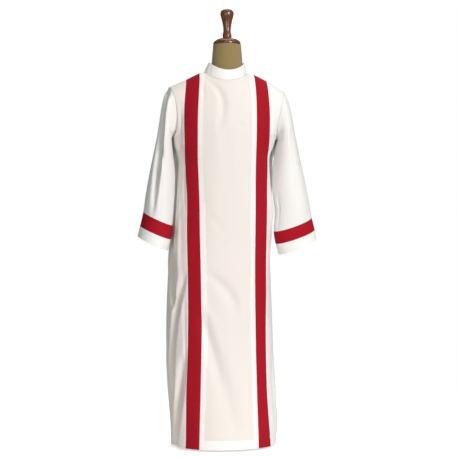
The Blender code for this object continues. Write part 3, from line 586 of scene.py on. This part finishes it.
def back_top(share, side):
    """Top point of a column of the back, from its centre out to a side."""
    shoulder = BAND_EDGES[-1]
    inner = shoulder.right_inner if side < 0 else shoulder.left_inner
    outer = shoulder.right_outer if side < 0 else shoulder.left_outer
    if share <= BACK_NECK_SHARE:
        return neck_point(NECKLINE, side * (180 - 90 * share / BACK_NECK_SHARE))
    if share <= BACK_INNER_SHARE:
        start = neck_point(NECKLINE, side * 90)[0]
        part = (share - BACK_NECK_SHARE) / (BACK_INNER_SHARE - BACK_NECK_SHARE)
        return shoulder_point(start + (inner - start) * part)
    part = (share - BACK_INNER_SHARE) / (1 - BACK_INNER_SHARE)
    return shoulder_point(inner + (outer - inner) * part)


def climbing_column(across, top, slope, behind):
    """Column from the hem over the chest or back to its top point."""
    z = lower_heights()
    lower = body_ring(z, turn_at(z, across(z), behind))
    return np.concatenate((lower, rising_column(lower[-1], top, slope, across)))


def sleeve_point(sleeve, loop, angle):
    """Points of a sleeve at loop numbers and angles."""
    a = np.radians(angle)
    share = (1 - np.cos(a)) / 2
    inner_x, inner_z, outer_x, outer_z = curves(sleeve, loop, "inner_x", "inner_z", "outer_x", "outer_z")
    centre_y, depth = curves(sleeve, loop, "centre_y", "half_depth")
    hole_y = SIDE_SEAM_Y + (SHOULDER_SEAM_Y - SIDE_SEAM_Y) * np.abs(angle) / 180
    near = np.clip(1 - loop, 0, 1) ** 2
    side = np.sign(sleeve[0].outer_x)
    x = inner_x + (outer_x - inner_x) * share
    bow = LEFT_ARMHOLE_BOW if side > 0 else RIGHT_ARMHOLE_BOW
    x = x - side * bow * np.sin(np.abs(a)) * near
    y = centre_y * (1 - near) + hole_y * near - depth * np.sin(a)
    return points(x, y, inner_z + (outer_z - inner_z) * share)


def side_columns(edge, sleeve, side, behind, across_shares):
    """Columns from a band's outer edge to the side seam and armhole."""
    z = lower_heights()
    start = turn_at(z, edge[:len(z), 0], behind)
    row = np.arccos(1 - 2 * upper_shares()) / np.pi
    hole = sleeve_point(sleeve, np.zeros(len(row)), (-180 if behind else 180) * row)
    pit = sleeve_point(sleeve, np.zeros(1), np.zeros(1))[0]
    columns = []
    for share in across_shares:
        lower = body_ring(z, start + (side * 90 - start) * share)
        chord = edge[len(z) - 1] * (1 - share) + pit * share
        fade = ((1 - upper_shares()) ** 2)[:, None]
        upper = edge[len(z):] * (1 - share) + hole * share + (lower[-1] - chord) * fade
        columns.append(np.concatenate((lower, upper)))
    return columns


def front_grid():
    """Columns of the whole front, and the column where each panel ends."""
    fields = ("right_outer", "right_inner", "left_inner", "left_outer")
    shoulder = BAND_EDGES[-1]
    columns = []
    cuts = []
    widths = (BAND_WIDTH, CENTRE_WIDTH, BAND_WIDTH)
    counts = (BAND_COLUMNS, CENTRE_COLUMNS, BAND_COLUMNS)
    for strip in range(3):
        start, end = edge_curve(fields[strip]), edge_curve(fields[strip + 1])
        width = widths[strip]
        marks = (ALLOWANCE_WIDTH, width - ALLOWANCE_WIDTH) if strip == 1 else ()
        cuts.append(len(columns))
        for share in shares(counts[strip], width, marks)[:None if strip == 2 else -1]:
            across = between(start, end, share)
            if strip == 1:
                top, slope = centre_top(share)
            else:
                top, slope = shoulder_point(float(across(shoulder.height))), 0.0
            columns.append(climbing_column(across, top, slope, False))
    cuts.append(len(columns) - 1)
    steps = shares(SIDE_COLUMNS, SIDE_WIDTH)[1:]
    right = side_columns(columns[0], RIGHT_SLEEVE, -1, False, steps)[::-1]
    left = side_columns(columns[-1], LEFT_SLEEVE, 1, False, steps)
    cuts = [0] + [cut + len(right) for cut in cuts] + [len(right) + len(columns) + len(left) - 1]
    across_share = [*steps[::-1], *[0.0] * len(columns), *steps]
    return np.array(right + columns + left), cuts, np.array(across_share)


def back_grid():
    """Columns of the whole back, and the column where each panel ends."""
    halves = []
    for side, field, sleeve in ((-1, "right_outer", RIGHT_SLEEVE), (1, "left_outer", LEFT_SLEEVE)):
        half = [
            climbing_column(between(centre_x, edge_curve(field), share), back_top(share, side), 0.0, True)
            for share in shares(BACK_MIDDLE_COLUMNS, BACK_MIDDLE_WIDTH)
        ]
        steps = shares(BACK_SIDE_COLUMNS, SIDE_WIDTH)[1:]
        halves.append(half + side_columns(half[-1], sleeve, side, True, steps))
    middle = len(halves[0]) - 1
    across_share = [*steps[::-1], *[0.0] * (2 * (middle - len(steps)) + 1), *steps]
    columns = halves[0][::-1] + halves[1][1:]
    return np.array(columns), [0, middle, 2 * middle], np.array(across_share)


def trough(distance, half_width, depth):
    """Depth of a soft trough with slightly raised banks, across its path."""
    q = distance / half_width
    return -depth * (1 - FOLD_BANK * q * q) * np.exp(-q * q)


def ease(share):
    share = np.clip(share, 0, 1)
    return share**2 * (3 - 2 * share)


def fold_push(folds, turn, z):
    """How far the folds move points outwards."""
    t = np.linspace(0, 1, FOLD_PATH_STEPS)
    push = np.zeros(turn.shape)
    for fold in folds:
        a, b, c = (1 - t) ** 2, 2 * t * (1 - t), t**2
        middle_turn = 2 * fold.turn_b - (fold.turn_a + fold.turn_c) / 2
        middle_z = 2 * fold.z_b - (fold.z_a + fold.z_c) / 2
        path_turn = a * fold.turn_a + b * middle_turn + c * fold.turn_c
        path_z = a * fold.z_a + b * middle_z + c * fold.z_c
        gap = np.abs(turn[..., None] - path_turn)
        gap = np.minimum(gap, 360 - gap) * METRES_PER_DEGREE
        distance = np.hypot(gap, z[..., None] - path_z)
        nearest = distance.argmin(axis=-1)
        fade = np.sin(np.pi * (BODY_FOLD_ENDS + (1 - 2 * BODY_FOLD_ENDS) * t[nearest]))
        push += trough(distance.min(axis=-1), fold.half_width, fold.depth) * fade
    return push


def wrinkle(across, along, seed):
    """Gentle unevenness of hanging cloth, a sum of slanted waves."""
    rng = np.random.default_rng(seed)
    total = np.zeros(np.broadcast(across, along).shape)
    for _ in range(WRINKLE_WAVES):
        length = rng.uniform(*WRINKLE_LENGTHS)
        slant = rng.normal(0, WRINKLE_SLANT)
        phase = rng.uniform(0, 2 * np.pi)
        total += np.sin(2 * np.pi * (across * np.cos(slant) + along * np.sin(slant)) / length + phase)
    return total / math.sqrt(WRINKLE_WAVES)


def grid_normals(grid, behind):
    """Outward directions of a grid, made square to the seams at its edges."""
    along = np.gradient(grid, axis=0)
    up = np.gradient(grid, axis=1)
    normals = np.cross(along, up)
    if behind:
        normals = -normals
    lower = len(lower_heights())
    for edge, side in ((0, -1), (-1, 1)):
        normals[edge, :lower] = (side, 0, 0)
        normals[edge, lower:, 0] = side * np.maximum(side * normals[edge, lower:, 0], 0)
        normals[edge, -1] = (0, 0, 1)
    on_shoulder = np.abs(grid[:, -1, 0] - NECKLINE.x) >= NECKLINE.half_width - TOUCHING
    normals[on_shoulder, -1, 1] = 0
    return unit(normals)


def distance_from(grid, column):
    """Distance across the cloth from one column to every point, row by row."""
    steps = np.linalg.norm(np.diff(grid, axis=0), axis=-1)
    along = np.concatenate((np.zeros((1, grid.shape[1])), np.cumsum(steps, axis=0)))
    return along - along[column]


def distance_up(grid):
    steps = np.linalg.norm(np.diff(grid, axis=1), axis=-1)
    return np.concatenate((np.zeros((grid.shape[0], 1)), np.cumsum(steps, axis=1)), axis=1)


def body_walls(behind):
    """Outer and inner surface of the front or back, the cuts, and the share of double layers.

    The front's cuts 1 to 4 are the red bands' edges, so the centre panel lies between 2 and 3.
    """
    grid, cuts, across_share = back_grid() if behind else front_grid()
    normals = grid_normals(grid, behind)
    lower = len(lower_heights())
    turn = turn_at(grid[..., 2], grid[..., 0], behind)
    turn[0, :lower] = -90
    turn[-1, :lower] = 90
    z = grid[..., 2]
    push = fold_push(BODY_FOLDS + BODY_CREASES, turn, z)
    across = distance_from(grid, len(grid) // 2)
    seed = BACK_SEED if behind else FRONT_SEED
    push += WRINKLE_DEPTH * wrinkle(across, BODY_WRINKLE_STRETCH * z, seed)
    rise = np.concatenate((np.zeros(lower), upper_shares()))
    push *= 1 - rise[None, :] ** FADE_TO_SHOULDER
    push *= 1 - (rise[None, :] > 0) * across_share[:, None] ** FADE_TO_ARMHOLE
    layers = np.zeros(z.shape)
    if not behind:
        for cut, inward in ((cuts[2], 1), (cuts[3], -1)):
            reach = distance_from(grid, cut) * inward
            layers = np.maximum(layers, (reach >= -TOUCHING) & (reach < ALLOWANCE_WIDTH))
    hem = np.full(len(grid), SIDE_HEM_SHOW)
    if not behind:
        hem[cuts[1]:cuts[4] + 1] = 1.0
    layers = np.maximum(layers, (z < HEM_HEIGHT + HEM_DEPTH) * hem[:, None])
    push += LAYER_RISE * layers
    push -= HEM_GROOVE * (np.abs(z - HEM_HEIGHT - HEM_DEPTH) < HEM_GROOVE_HALF_WIDTH)
    for cut in cuts:
        near = np.abs(distance_from(grid, cut)) < SEAM_TUCK_WIDTH * 0.5
        push -= SEAM_TUCK * near
    outer = grid + normals * push[..., None]
    return outer, outer - normals * CLOTH_THICKNESS, cuts, layers


def drawn_in(wall):
    """A wall's columns with all four edges moved in by half a seam's gap."""
    half = SEAM_GAP / 2
    result = wall.copy()
    result[0] += unit(wall[1] - wall[0]) * half
    result[-1] += unit(wall[-2] - wall[-1]) * half
    result[:, 0] += unit(wall[:, 1] - wall[:, 0]) * half
    result[:, -1] += unit(wall[:, -2] - wall[:, -1]) * half
    return result


def new_mesh(name, verts, faces):
    mesh = bpy.data.meshes.new(name)
    mesh.from_pydata(verts, [], faces)
    return mesh


def add_object(name, data):
    thing = bpy.data.objects.new(name, data)
    bpy.context.scene.collection.objects.link(thing)
    return thing


def smooth_object(name, mesh):
    """Object of a closed mesh, smooth but for its sharp edges, with its faces turned out."""
    mesh.shade_smooth()
    mesh.set_sharp_from_angle(angle=math.radians(SHARP_ANGLE))
    mesh.calc_loop_triangles()
    verts = np.empty(len(mesh.vertices) * 3)
    mesh.vertices.foreach_get("co", verts)
    verts = verts.reshape(-1, 3)
    corners = np.empty(len(mesh.loop_triangles) * 3, dtype=np.int32)
    mesh.loop_triangles.foreach_get("vertices", corners)
    a, b, c = (verts[corners.reshape(-1, 3)[:, i]] for i in range(3))
    if np.einsum("ij,ij->", a, np.cross(b, c)) < 0:
        mesh.flip_normals()
    return add_object(name, mesh)


def wall_object(name, outer, inner, closed, layers):
    """Closed wall between two grids, smooth, with UVs in metres and its double layers marked."""
    columns, rows = outer.shape[:2]
    count = columns * rows
    index = np.arange(count).reshape(columns, rows)
    here = index if closed else index[:-1]
    beside = np.roll(index, -1, axis=0) if closed else index[1:]

    def quads(a, b, c, d):
        return np.stack((a.ravel(), b.ravel(), c.ravel(), d.ravel()), axis=1)

    faces = [
        quads(here[:, :-1], beside[:, :-1], beside[:, 1:], here[:, 1:]),
        quads(here[:, :-1], here[:, 1:], beside[:, 1:], beside[:, :-1]) + count,
        quads(here[:, 0], here[:, 0] + count, beside[:, 0] + count, beside[:, 0]),
        quads(here[:, -1], beside[:, -1], beside[:, -1] + count, here[:, -1] + count),
    ]
    if not closed:
        first, last = index[0], index[-1]
        faces.append(quads(first[:-1], first[1:], first[1:] + count, first[:-1] + count))
        faces.append(quads(last[:-1], last[:-1] + count, last[1:] + count, last[1:]))
    faces = np.concatenate(faces)
    verts = np.concatenate((outer.reshape(-1, 3), inner.reshape(-1, 3)))
    mesh = new_mesh(name, verts.tolist(), faces.tolist())
    across = distance_from(outer, 0)
    across = np.broadcast_to(across[:, rows // 2][:, None], (columns, rows))
    spread = np.stack((across, distance_up(outer)), axis=-1).reshape(-1, 2)
    spread = np.concatenate((spread, spread))
    uv = mesh.uv_layers.new(name="cloth")
    uv.data.foreach_set("uv", spread[faces.ravel()].ravel())
    mark = mesh.attributes.new("double_layer", "FLOAT", "POINT")
    mark.data.foreach_set("value", np.tile(layers.astype(float).ravel(), 2))
    mesh.validate()
    return smooth_object(name, mesh)


def finish_piece(piece, material, node=None):
    piece.data.materials.append(material)
    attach(piece, "root")
    if node:
        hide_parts(node)


def stitch_line(name, path, normals, material):
    """Small raised stitches along a run of points."""
    steps = np.linalg.norm(np.diff(path, axis=0), axis=1)
    along = np.concatenate(((0,), np.cumsum(steps)))
    starts = np.arange(STITCH_PITCH, along[-1] - STITCH_PITCH, STITCH_PITCH)

    def at(distance, values):
        return np.stack([np.interp(distance, along, values[:, k]) for k in range(3)], axis=1)

    a, b = at(starts, path), at(starts + STITCH_LENGTH, path)
    out = unit(at(starts + STITCH_LENGTH / 2, normals))
    side = unit(np.cross(b - a, out)) * STITCH_WIDTH / 2
    low = -out * STITCH_RISE / 2
    mid = (a + b) / 2 + out * STITCH_RISE
    verts = np.stack((a + low - side, b + low - side, b + low + side, a + low + side,
                      mid - side * STITCH_TOP, mid + side * STITCH_TOP), axis=1).reshape(-1, 3)
    block = np.array(((0, 1, 4), (2, 3, 5), (1, 2, 5), (1, 5, 4), (3, 0, 4), (3, 4, 5),
                      (0, 3, 2), (0, 2, 1)))
    faces = (block[None] + 6 * np.arange(len(starts))[:, None, None]).reshape(-1, 3)
    piece = add_object(name, new_mesh(name, verts.tolist(), faces.tolist()))
    finish_piece(piece, material)
    return piece


def add_body(materials):
    """Front panels with the red bands between them, and the two back panels."""
    front_names = (
        # the centre panel and the wearer's-right side panel take the white cloth's copy with painted shade
        ("front_side_panel_right", "white_cloth", "white_over_form"),
        ("front_band_right", "red_cloth", "red_cloth"),
        ("front_centre_panel", "white_cloth", "white_over_form"),
        ("front_band_left", "red_cloth", "red_cloth"),
        ("front_side_panel_left", "white_cloth", "white_cloth"),
    )
    back_names = (
        ("back_panel_right", "white_cloth", "white_cloth"),
        ("back_panel_left", "white_cloth", "white_cloth"),
    )
    for behind, names in ((False, front_names), (True, back_names)):
        outer, inner, cuts, layers = body_walls(behind)
        stitch_row = int(np.argmin(np.abs(lower_heights() - HEM_HEIGHT - HEM_DEPTH)))
        for (name, slot, finish), first, last in zip(names, cuts, cuts[1:]):
            part = slice(first, last + 1)
            shell = wall_object(name + "_cloth", drawn_in(outer[part]), drawn_in(inner[part]), False,
                                layers[part])
            run = outer[first + 1:last, stitch_row]
            away = run - inner[first + 1:last, stitch_row]
            thread = materials["red_thread" if slot == "red_cloth" else "white_thread"]
            stitches = stitch_line(name + "_hem_stitches", run, away, thread)
            finish_piece(shell, materials[finish], name)


def sleeve_walls(sleeve, folds, side, loops):
    """Outer and inner surface of a stretch of sleeve, as closed loops of columns."""
    angle = (-180 + 360 * np.arange(SLEEVE_STEPS) / SLEEVE_STEPS)[:, None]
    loop = loops[None, :]
    plain = sleeve_point(sleeve, loop + 0 * angle, angle + 0 * loop)
    inner_x, inner_z, outer_x, outer_z = curves(sleeve, loop, "inner_x", "inner_z", "outer_x", "outer_z")
    inner, outer = points(inner_x, 0, inner_z), points(outer_x, 0, outer_z)
    depth = curve(sleeve, "half_depth", loop)[..., None]
    half_length = np.linalg.norm(outer - inner, axis=-1, keepdims=True) / 2
    along = unit(outer - inner)
    a = np.radians(angle)[..., None]
    out = unit(-np.cos(a) * depth * along - np.sin(a) * half_length * np.array((0.0, 1.0, 0.0)))
    at_head = loop < SLEEVE_HEAD_LOOPS
    at_hole = at_head[..., None] & (out[..., :1] * side > 0)
    out = np.where(at_hole & (np.arange(3) == 0), 0.0, out)
    push = np.zeros(plain.shape[:2])
    for fold in folds:
        share = (loop - fold.loop_start) / (fold.loop_end - fold.loop_start)
        bend = 2 * (fold.start + fold.end - 2 * fold.middle)
        path = fold.start + (fold.end - fold.start) * share - bend * share * (1 - share)
        turn = (angle - path + 180) % 360 - 180
        half_width = fold.half_start + (fold.half_end - fold.half_start) * np.clip(share, 0, 1)
        distance = np.radians(turn) * (depth[..., 0] + half_length[..., 0]) / 2
        fade = ease(share / SLEEVE_FOLD_EASE) * ease((1 - share) / SLEEVE_FOLD_EASE)
        push += trough(distance, half_width, fold.depth) * fade
    push *= np.clip(loop / SLEEVE_FOLD_START, 0, 1)
    girth = np.radians(angle) * (depth[..., 0] + half_length[..., 0]) / 2
    uneven = wrinkle(girth, SLEEVE_WRINKLE_STRETCH * loop, SLEEVE_SEED + side)
    push += WRINKLE_DEPTH * uneven * np.clip(loop, 0, 1)
    push -= SLEEVE_HEAD_TUCK * at_head
    sag = SLEEVE_FRONT_SAG * np.sin(a) * np.clip(loop / BAND_TOP_LOOP, 0, 1)[..., None]
    plain = plain + out * push[..., None] - sag * np.array((0.0, 0.0, 1.0))
    plain[:, loops == 0, 0] += side * SEAM_GAP
    return plain, plain - out * CLOTH_THICKNESS


def add_sleeves(materials):
    """Each sleeve's upper part, red band and cuff, open tubes end to end."""
    last = len(RIGHT_SLEEVE) - 1
    parts = (
        ("sleeve", "white_cloth", 0, BAND_TOP_LOOP, SLEEVE_ROWS),
        ("sleeve_band", "red_cloth", BAND_TOP_LOOP, BAND_BOTTOM_LOOP, SLEEVE_BAND_ROWS),
        ("cuff", "white_cloth", BAND_BOTTOM_LOOP, last, CUFF_ROWS),
    )
    sides = (
        ("right", RIGHT_SLEEVE, RIGHT_SLEEVE_FOLDS, -1),
        ("left", LEFT_SLEEVE, LEFT_SLEEVE_FOLDS, 1),
    )
    for side_name, sleeve, folds, side in sides:
        for part, slot, top, end, rows in parts:
            name = f"{part}_{side_name}"
            even = np.linspace(top, end, rows + 1)
            loops = np.unique((*even, top + SLEEVE_SEAM_LOOPS, end - SLEEVE_SEAM_LOOPS))
            outer, inner = sleeve_walls(sleeve, folds, side, loops)
            for wall in (outer, inner):
                if top:
                    wall[:, 0] += unit(wall[:, 1] - wall[:, 0]) * SEAM_GAP / 2
                wall[:, -1] += unit(wall[:, -2] - wall[:, -1]) * SEAM_GAP / 2
            layers = np.full(outer.shape[:2], 1.0 if part == "cuff" else 0.0)
            shell = wall_object(name + "_cloth", outer, inner, True, layers)
            finish_piece(shell, materials[slot], name)


def add_collar(material):
    """Stand collar: a double band on the neckline whose ends meet at the centre back."""
    end = math.degrees(SEAM_GAP / 2 / NECKLINE.half_depth)
    outer, inner = [], []
    for step in range(COLLAR_STEPS + 1):
        angle = -180 + end + (360 - 2 * end) * step / COLLAR_STEPS
        a = math.radians(angle)
        out = np.array((math.sin(a), -math.cos(a), 0.0))
        foot = neck_point(NECKLINE, angle) + np.array((0.0, 0.0, COLLAR_FOOT_RISE))
        head = neck_point(COLLAR_TOP, angle)
        share = np.linspace(0, 1, COLLAR_ROWS + 1)[:, None]
        column = foot * (1 - share) + head * share
        creased = sum(
            crease.depth * math.exp(-((angle - crease.angle) / crease.half_angle) ** 2)
            for crease in COLLAR_CREASES
        )
        bulge = (COLLAR_BULGE - creased) * np.sin(np.pi * share) * out
        outer.append(column + bulge)
        inner.append(column + bulge - out * COLLAR_THICKNESS)
    outer, inner = np.array(outer), np.array(inner)
    shell = wall_object("collar_cloth", outer, inner, False, np.ones(outer.shape[:2]))
    finish_piece(shell, material, "collar")


def torso_radius(z, angle):
    """Radius of the torso and neck at heights and angles."""
    width, depth, neck = curves(TORSO_SECTIONS, z, "half_width", "half_depth", "neck_radius")
    neck = np.maximum(neck, 0)
    across = np.abs(np.cos(angle) / width) ** TORSO_SQUARENESS
    deep = np.abs(np.sin(angle) / depth) ** TORSO_SQUARENESS
    oval = (across + deep) ** (-1 / TORSO_SQUARENESS)
    return (oval**NECK_BLEND + neck**NECK_BLEND) ** (1 / NECK_BLEND)


def lofted_object(name, rings, material, node):
    """Solid through closed rings, with flat ends, UVs in metres."""
    count, steps = rings.shape[:2]
    index = np.arange(count * steps).reshape(count, steps)
    beside = np.roll(index, -1, axis=1)
    faces = np.stack((index[:-1], beside[:-1], beside[1:], index[1:]), axis=-1).reshape(-1, 4).tolist()
    faces += [index[0][::-1].tolist(), index[-1].tolist()]
    mesh = new_mesh(name, rings.reshape(-1, 3).tolist(), faces)
    heights = np.concatenate(((0,), np.cumsum(np.linalg.norm(np.diff(rings[:, 0], axis=0), axis=1))))
    girth = np.linalg.norm(rings[:, 0, :2], axis=1).max() * 2 * np.pi
    uv = mesh.uv_layers.new(name="cloth")
    corners = np.array([loop.vertex_index for loop in mesh.loops])
    spread = np.stack(((corners % steps) / steps * girth, heights[corners // steps]), axis=1)
    uv.data.foreach_set("uv", spread.ravel())
    finish_piece(smooth_object(name, mesh), material, node)


def turned_rings(outline):
    """Rings of a smooth turned shape through its outline."""
    numbered = table("number radius height", [(i, *step) for i, step in enumerate(outline)])
    at = np.linspace(0, len(outline) - 1, (len(outline) - 1) * TURNED_SUBSTEPS + 1)[:, None]
    radius, height = curves(numbered, at, "radius", "height")
    a = 2 * np.pi * np.arange(TURNED_STEPS)[None, :] / TURNED_STEPS
    return points(radius * np.cos(a), radius * np.sin(a), height + 0 * a)


def add_form(materials):
    """Torso, wooden cap and finial, pole and base."""
    z = np.linspace(TORSO_SECTIONS[0].height, TORSO_SECTIONS[-1].height, TORSO_ROWS)[:, None]
    a = (2 * np.pi * np.arange(TORSO_STEPS) / TORSO_STEPS)[None, :]
    radius = torso_radius(z + 0 * a, a + 0 * z)
    centre = curve(TORSO_SECTIONS, "centre_y", z)
    rings = points(radius * np.cos(a), centre + radius * np.sin(a), z + 0 * a)
    lofted_object("linen_torso", rings, materials["linen"], "form_torso")
    wood = materials["turned_wood"]
    for name, outline, node in (
        ("wooden_cap", CAP_OUTLINE, "form_cap"),
        ("wooden_finial", FINIAL_OUTLINE, "form_finial"),
        ("wooden_pole", POLE_OUTLINE, "form_pole"),
        ("wooden_base", BASE_OUTLINE, "form_base"),
    ):
        lofted_object(name, turned_rings(outline), wood, node)


class Graph:
    """Small helper for building the nodes of a material or of the world."""

    def __init__(self, owner):
        owner.use_nodes = True
        self.owner = owner
        self.tree = owner.node_tree

    def feed(self, node, inputs):
        """Set a node's inputs, or link the ones that come from another node."""
        for name, value in inputs.items():
            if isinstance(value, bpy.types.NodeSocket):
                self.tree.links.new(value, node.inputs[name])
            else:
                node.inputs[name].default_value = value

    def add(self, kind, inputs=None, **settings):
        node = self.tree.nodes.new(kind)
        for key, value in settings.items():
            setattr(node, key, value)
        self.feed(node, inputs or {})
        return node

    def math(self, operation, *values):
        return self.add("ShaderNodeMath", dict(enumerate(values)), operation=operation).outputs[0]

    def noise(self, vector, scale, detail=2.0):
        inputs = {"Vector": vector, "Scale": scale, "Detail": detail}
        return self.add("ShaderNodeTexNoise", inputs).outputs["Fac"]

    def mix(self, share, a, b):
        return self.add("ShaderNodeMix", {0: share, 6: a, 7: b}, data_type="RGBA").outputs[2]

    def bump(self, height, distance, strength, normal=None):
        inputs = {"Height": height, "Distance": distance, "Strength": strength}
        if normal is not None:
            inputs["Normal"] = normal
        return self.add("ShaderNodeBump", inputs).outputs["Normal"]

    def finish(self, inputs):
        """Feed the shader and return the finished material."""
        self.feed(self.tree.nodes["Principled BSDF"], inputs)
        return self.owner


def darker(colour, share):
    return tuple(part * share for part in colour[:3]) + (1.0,)


def cloth_material(cloth):
    """Woven cloth, from UVs in metres, whose double layers show a second colour."""
    g = Graph(bpy.data.materials.new(cloth.name + "_finish"))
    uv = g.add("ShaderNodeUVMap", uv_map="cloth").outputs[0]
    split = g.add("ShaderNodeSeparateXYZ", {0: uv})
    turns = 2 * math.pi / cloth.pitch
    warp = g.math("SINE", g.math("MULTIPLY", split.outputs[0], turns))
    weft = g.math("SINE", g.math("MULTIPLY", split.outputs[1], turns))
    threads = g.bump(g.math("MULTIPLY", warp, weft), cloth.relief, WEAVE_STRENGTH)
    slub = g.noise(uv, SLUB_SCALE)
    shade = g.math("MULTIPLY", g.math("ADD", slub, g.noise(uv, DRIFT_SCALE)), UNEVENNESS)
    mark = g.add("ShaderNodeAttribute", attribute_name="double_layer").outputs["Fac"]
    colour = g.mix(mark, cloth.single, cloth.double)
    return g.finish({
        "Base Color": g.mix(shade, colour, darker(cloth.single, UNEVEN_DARKENING)),
        "Roughness": cloth.roughness,
        "Sheen Weight": cloth.sheen,
        "Sheen Roughness": 0.5,
        "Specular IOR Level": 0.12,
        "Normal": g.bump(slub, cloth.relief * 2, SLUB_STRENGTH, threads),
    })


def plain_thread(name, colour):
    g = Graph(bpy.data.materials.new(name))
    twist = g.noise(g.add("ShaderNodeTexCoord").outputs["Object"], TWIST_SCALE)
    return g.finish({"Base Color": g.mix(twist, colour, darker(colour, TWIST_DARKENING)), "Roughness": 0.6})


def wood_material():
    """Glossy varnished wood with fine grain along the turning axis."""
    g = Graph(bpy.data.materials.new("turned_wood_finish"))
    place = g.add("ShaderNodeTexCoord").outputs["Object"]
    stretched = g.add("ShaderNodeMapping", {"Vector": place, "Scale": GRAIN_STRETCH}).outputs[0]
    grain = g.noise(stretched, GRAIN_SCALE, GRAIN_DETAIL)
    ramp = g.add("ShaderNodeValToRGB", {0: grain})
    for element, position, colour in zip(ramp.color_ramp.elements, (0.32, 0.72), (DARK_GRAIN, LIGHT_GRAIN)):
        element.position = position
        element.color = colour
    cloud = g.math("MULTIPLY", g.noise(place, CLOUD_SCALE), CLOUD_SHARE)
    return g.finish({
        "Base Color": g.mix(cloud, ramp.outputs[0], WOOD_TINT),
        "Roughness": 0.34,
        "Coat Weight": 0.45,
        "Coat Roughness": 0.08,
        "Normal": g.bump(grain, GRAIN_RELIEF, GRAIN_STRENGTH),
    })


def floor_material():
    """Pale matt floor that fades away into the white surroundings."""
    g = Graph(bpy.data.materials.new("pale_floor"))
    place = g.add("ShaderNodeTexCoord").outputs["Object"]
    seen = g.add("ShaderNodeLightPath").outputs["Is Camera Ray"]
    reach = g.add("ShaderNodeVectorMath", {0: place}, operation="LENGTH").outputs["Value"]
    fade = {
        "Value": reach,
        "From Min": FLOOR_SOLID_RADIUS,
        "From Max": FLOOR_FADE_RADIUS,
        "To Min": 1.0,
        "To Max": 0.0,
    }
    return g.finish({
        "Base Color": g.mix(g.noise(place, FLOOR_SPOT_SCALE), FLOOR_PALE, FLOOR_PALEST),
        "Roughness": 0.8,
        "Emission Color": PURE_WHITE,
        "Emission Strength": g.math("MULTIPLY", seen, FLOOR_GLOW),
        "Alpha": g.add("ShaderNodeMapRange", fade, interpolation_type="SMOOTHSTEP").outputs["Result"],
    })


def make_materials():
    return {
        **{cloth.name: cloth_material(cloth) for cloth in CLOTHS},
        "turned_wood": wood_material(),
        "white_thread": plain_thread("white_thread", WHITE_THREAD),
        "red_thread": plain_thread("red_thread", RED_THREAD),
    }


def add_camera():
    """Camera at the photograph's angle, level with the picture's middle."""
    a = math.radians(CAMERA_AZIMUTH)
    right = Vector((math.cos(a), math.sin(a), 0))
    ahead = Vector((-math.sin(a), math.cos(a), 0))
    camera = add_object("camera", bpy.data.cameras.new("camera"))
    camera.location = Vector((0, 0, CAMERA_HEIGHT)) + right * CAMERA_SIDESTEP - ahead * CAMERA_DISTANCE
    camera.rotation_euler = (math.pi / 2, 0, a)
    camera.data.sensor_width = SENSOR_WIDTH
    camera.data.lens = CAMERA_DISTANCE / METRES_PER_PIXEL * SENSOR_WIDTH / PICTURE_PIXELS
    bpy.context.scene.camera = camera


def add_area_light(row):
    light = bpy.data.lights.new(row.name, "AREA")
    light.shape = "RECTANGLE"
    light.size, light.size_y = row.size
    light.energy = row.power
    light.color = row.colour
    lamp = add_object(row.name, light)
    lamp.location = row.place
    lamp.rotation_euler = (Vector(row.target) - Vector(row.place)).to_track_quat("-Z", "Y").to_euler()


def add_world():
    """White surroundings that shed a dim light, cooler from behind."""
    world = bpy.data.worlds.new("studio")
    bpy.context.scene.world = world
    g = Graph(world)
    place = g.add("ShaderNodeTexCoord").outputs["Generated"]
    across = g.add("ShaderNodeSeparateXYZ", {0: place}).outputs["Y"]
    ramp = g.add("ShaderNodeValToRGB", {0: across})
    ramp.color_ramp.elements[0].color = AMBIENT_IN_FRONT
    ramp.color_ramp.elements[1].color = AMBIENT_BEHIND
    ambient = g.tree.nodes["Background"]
    g.feed(ambient, {"Color": ramp.outputs[0]})
    white = g.add("ShaderNodeBackground", {"Color": PURE_WHITE})
    seen = g.add("ShaderNodeLightPath").outputs["Is Camera Ray"]
    blend = g.add("ShaderNodeMixShader", {0: seen, 1: ambient.outputs[0], 2: white.outputs[0]})
    g.feed(g.tree.nodes["World Output"], {"Surface": blend.outputs[0]})


def add_stage():
    """Pale floor, white surroundings and soft lights in front, behind and above."""
    reach = FLOOR_FADE_RADIUS
    corners = [(-reach, -reach, 0), (reach, -reach, 0), (reach, reach, 0), (-reach, reach, 0)]
    mesh = new_mesh("floor", corners, [(0, 1, 2, 3)])
    mesh.materials.append(floor_material())
    add_object("floor", mesh)
    add_world()
    for row in LIGHTS:
        add_area_light(row)
    bpy.context.scene.view_settings.view_transform = "Standard"


def main():
    materials = make_materials()
    add_camera()
    add_stage()
    add_body(materials)
    add_sleeves(materials)
    add_collar(materials["white_cloth"])
    add_form(materials)


main()
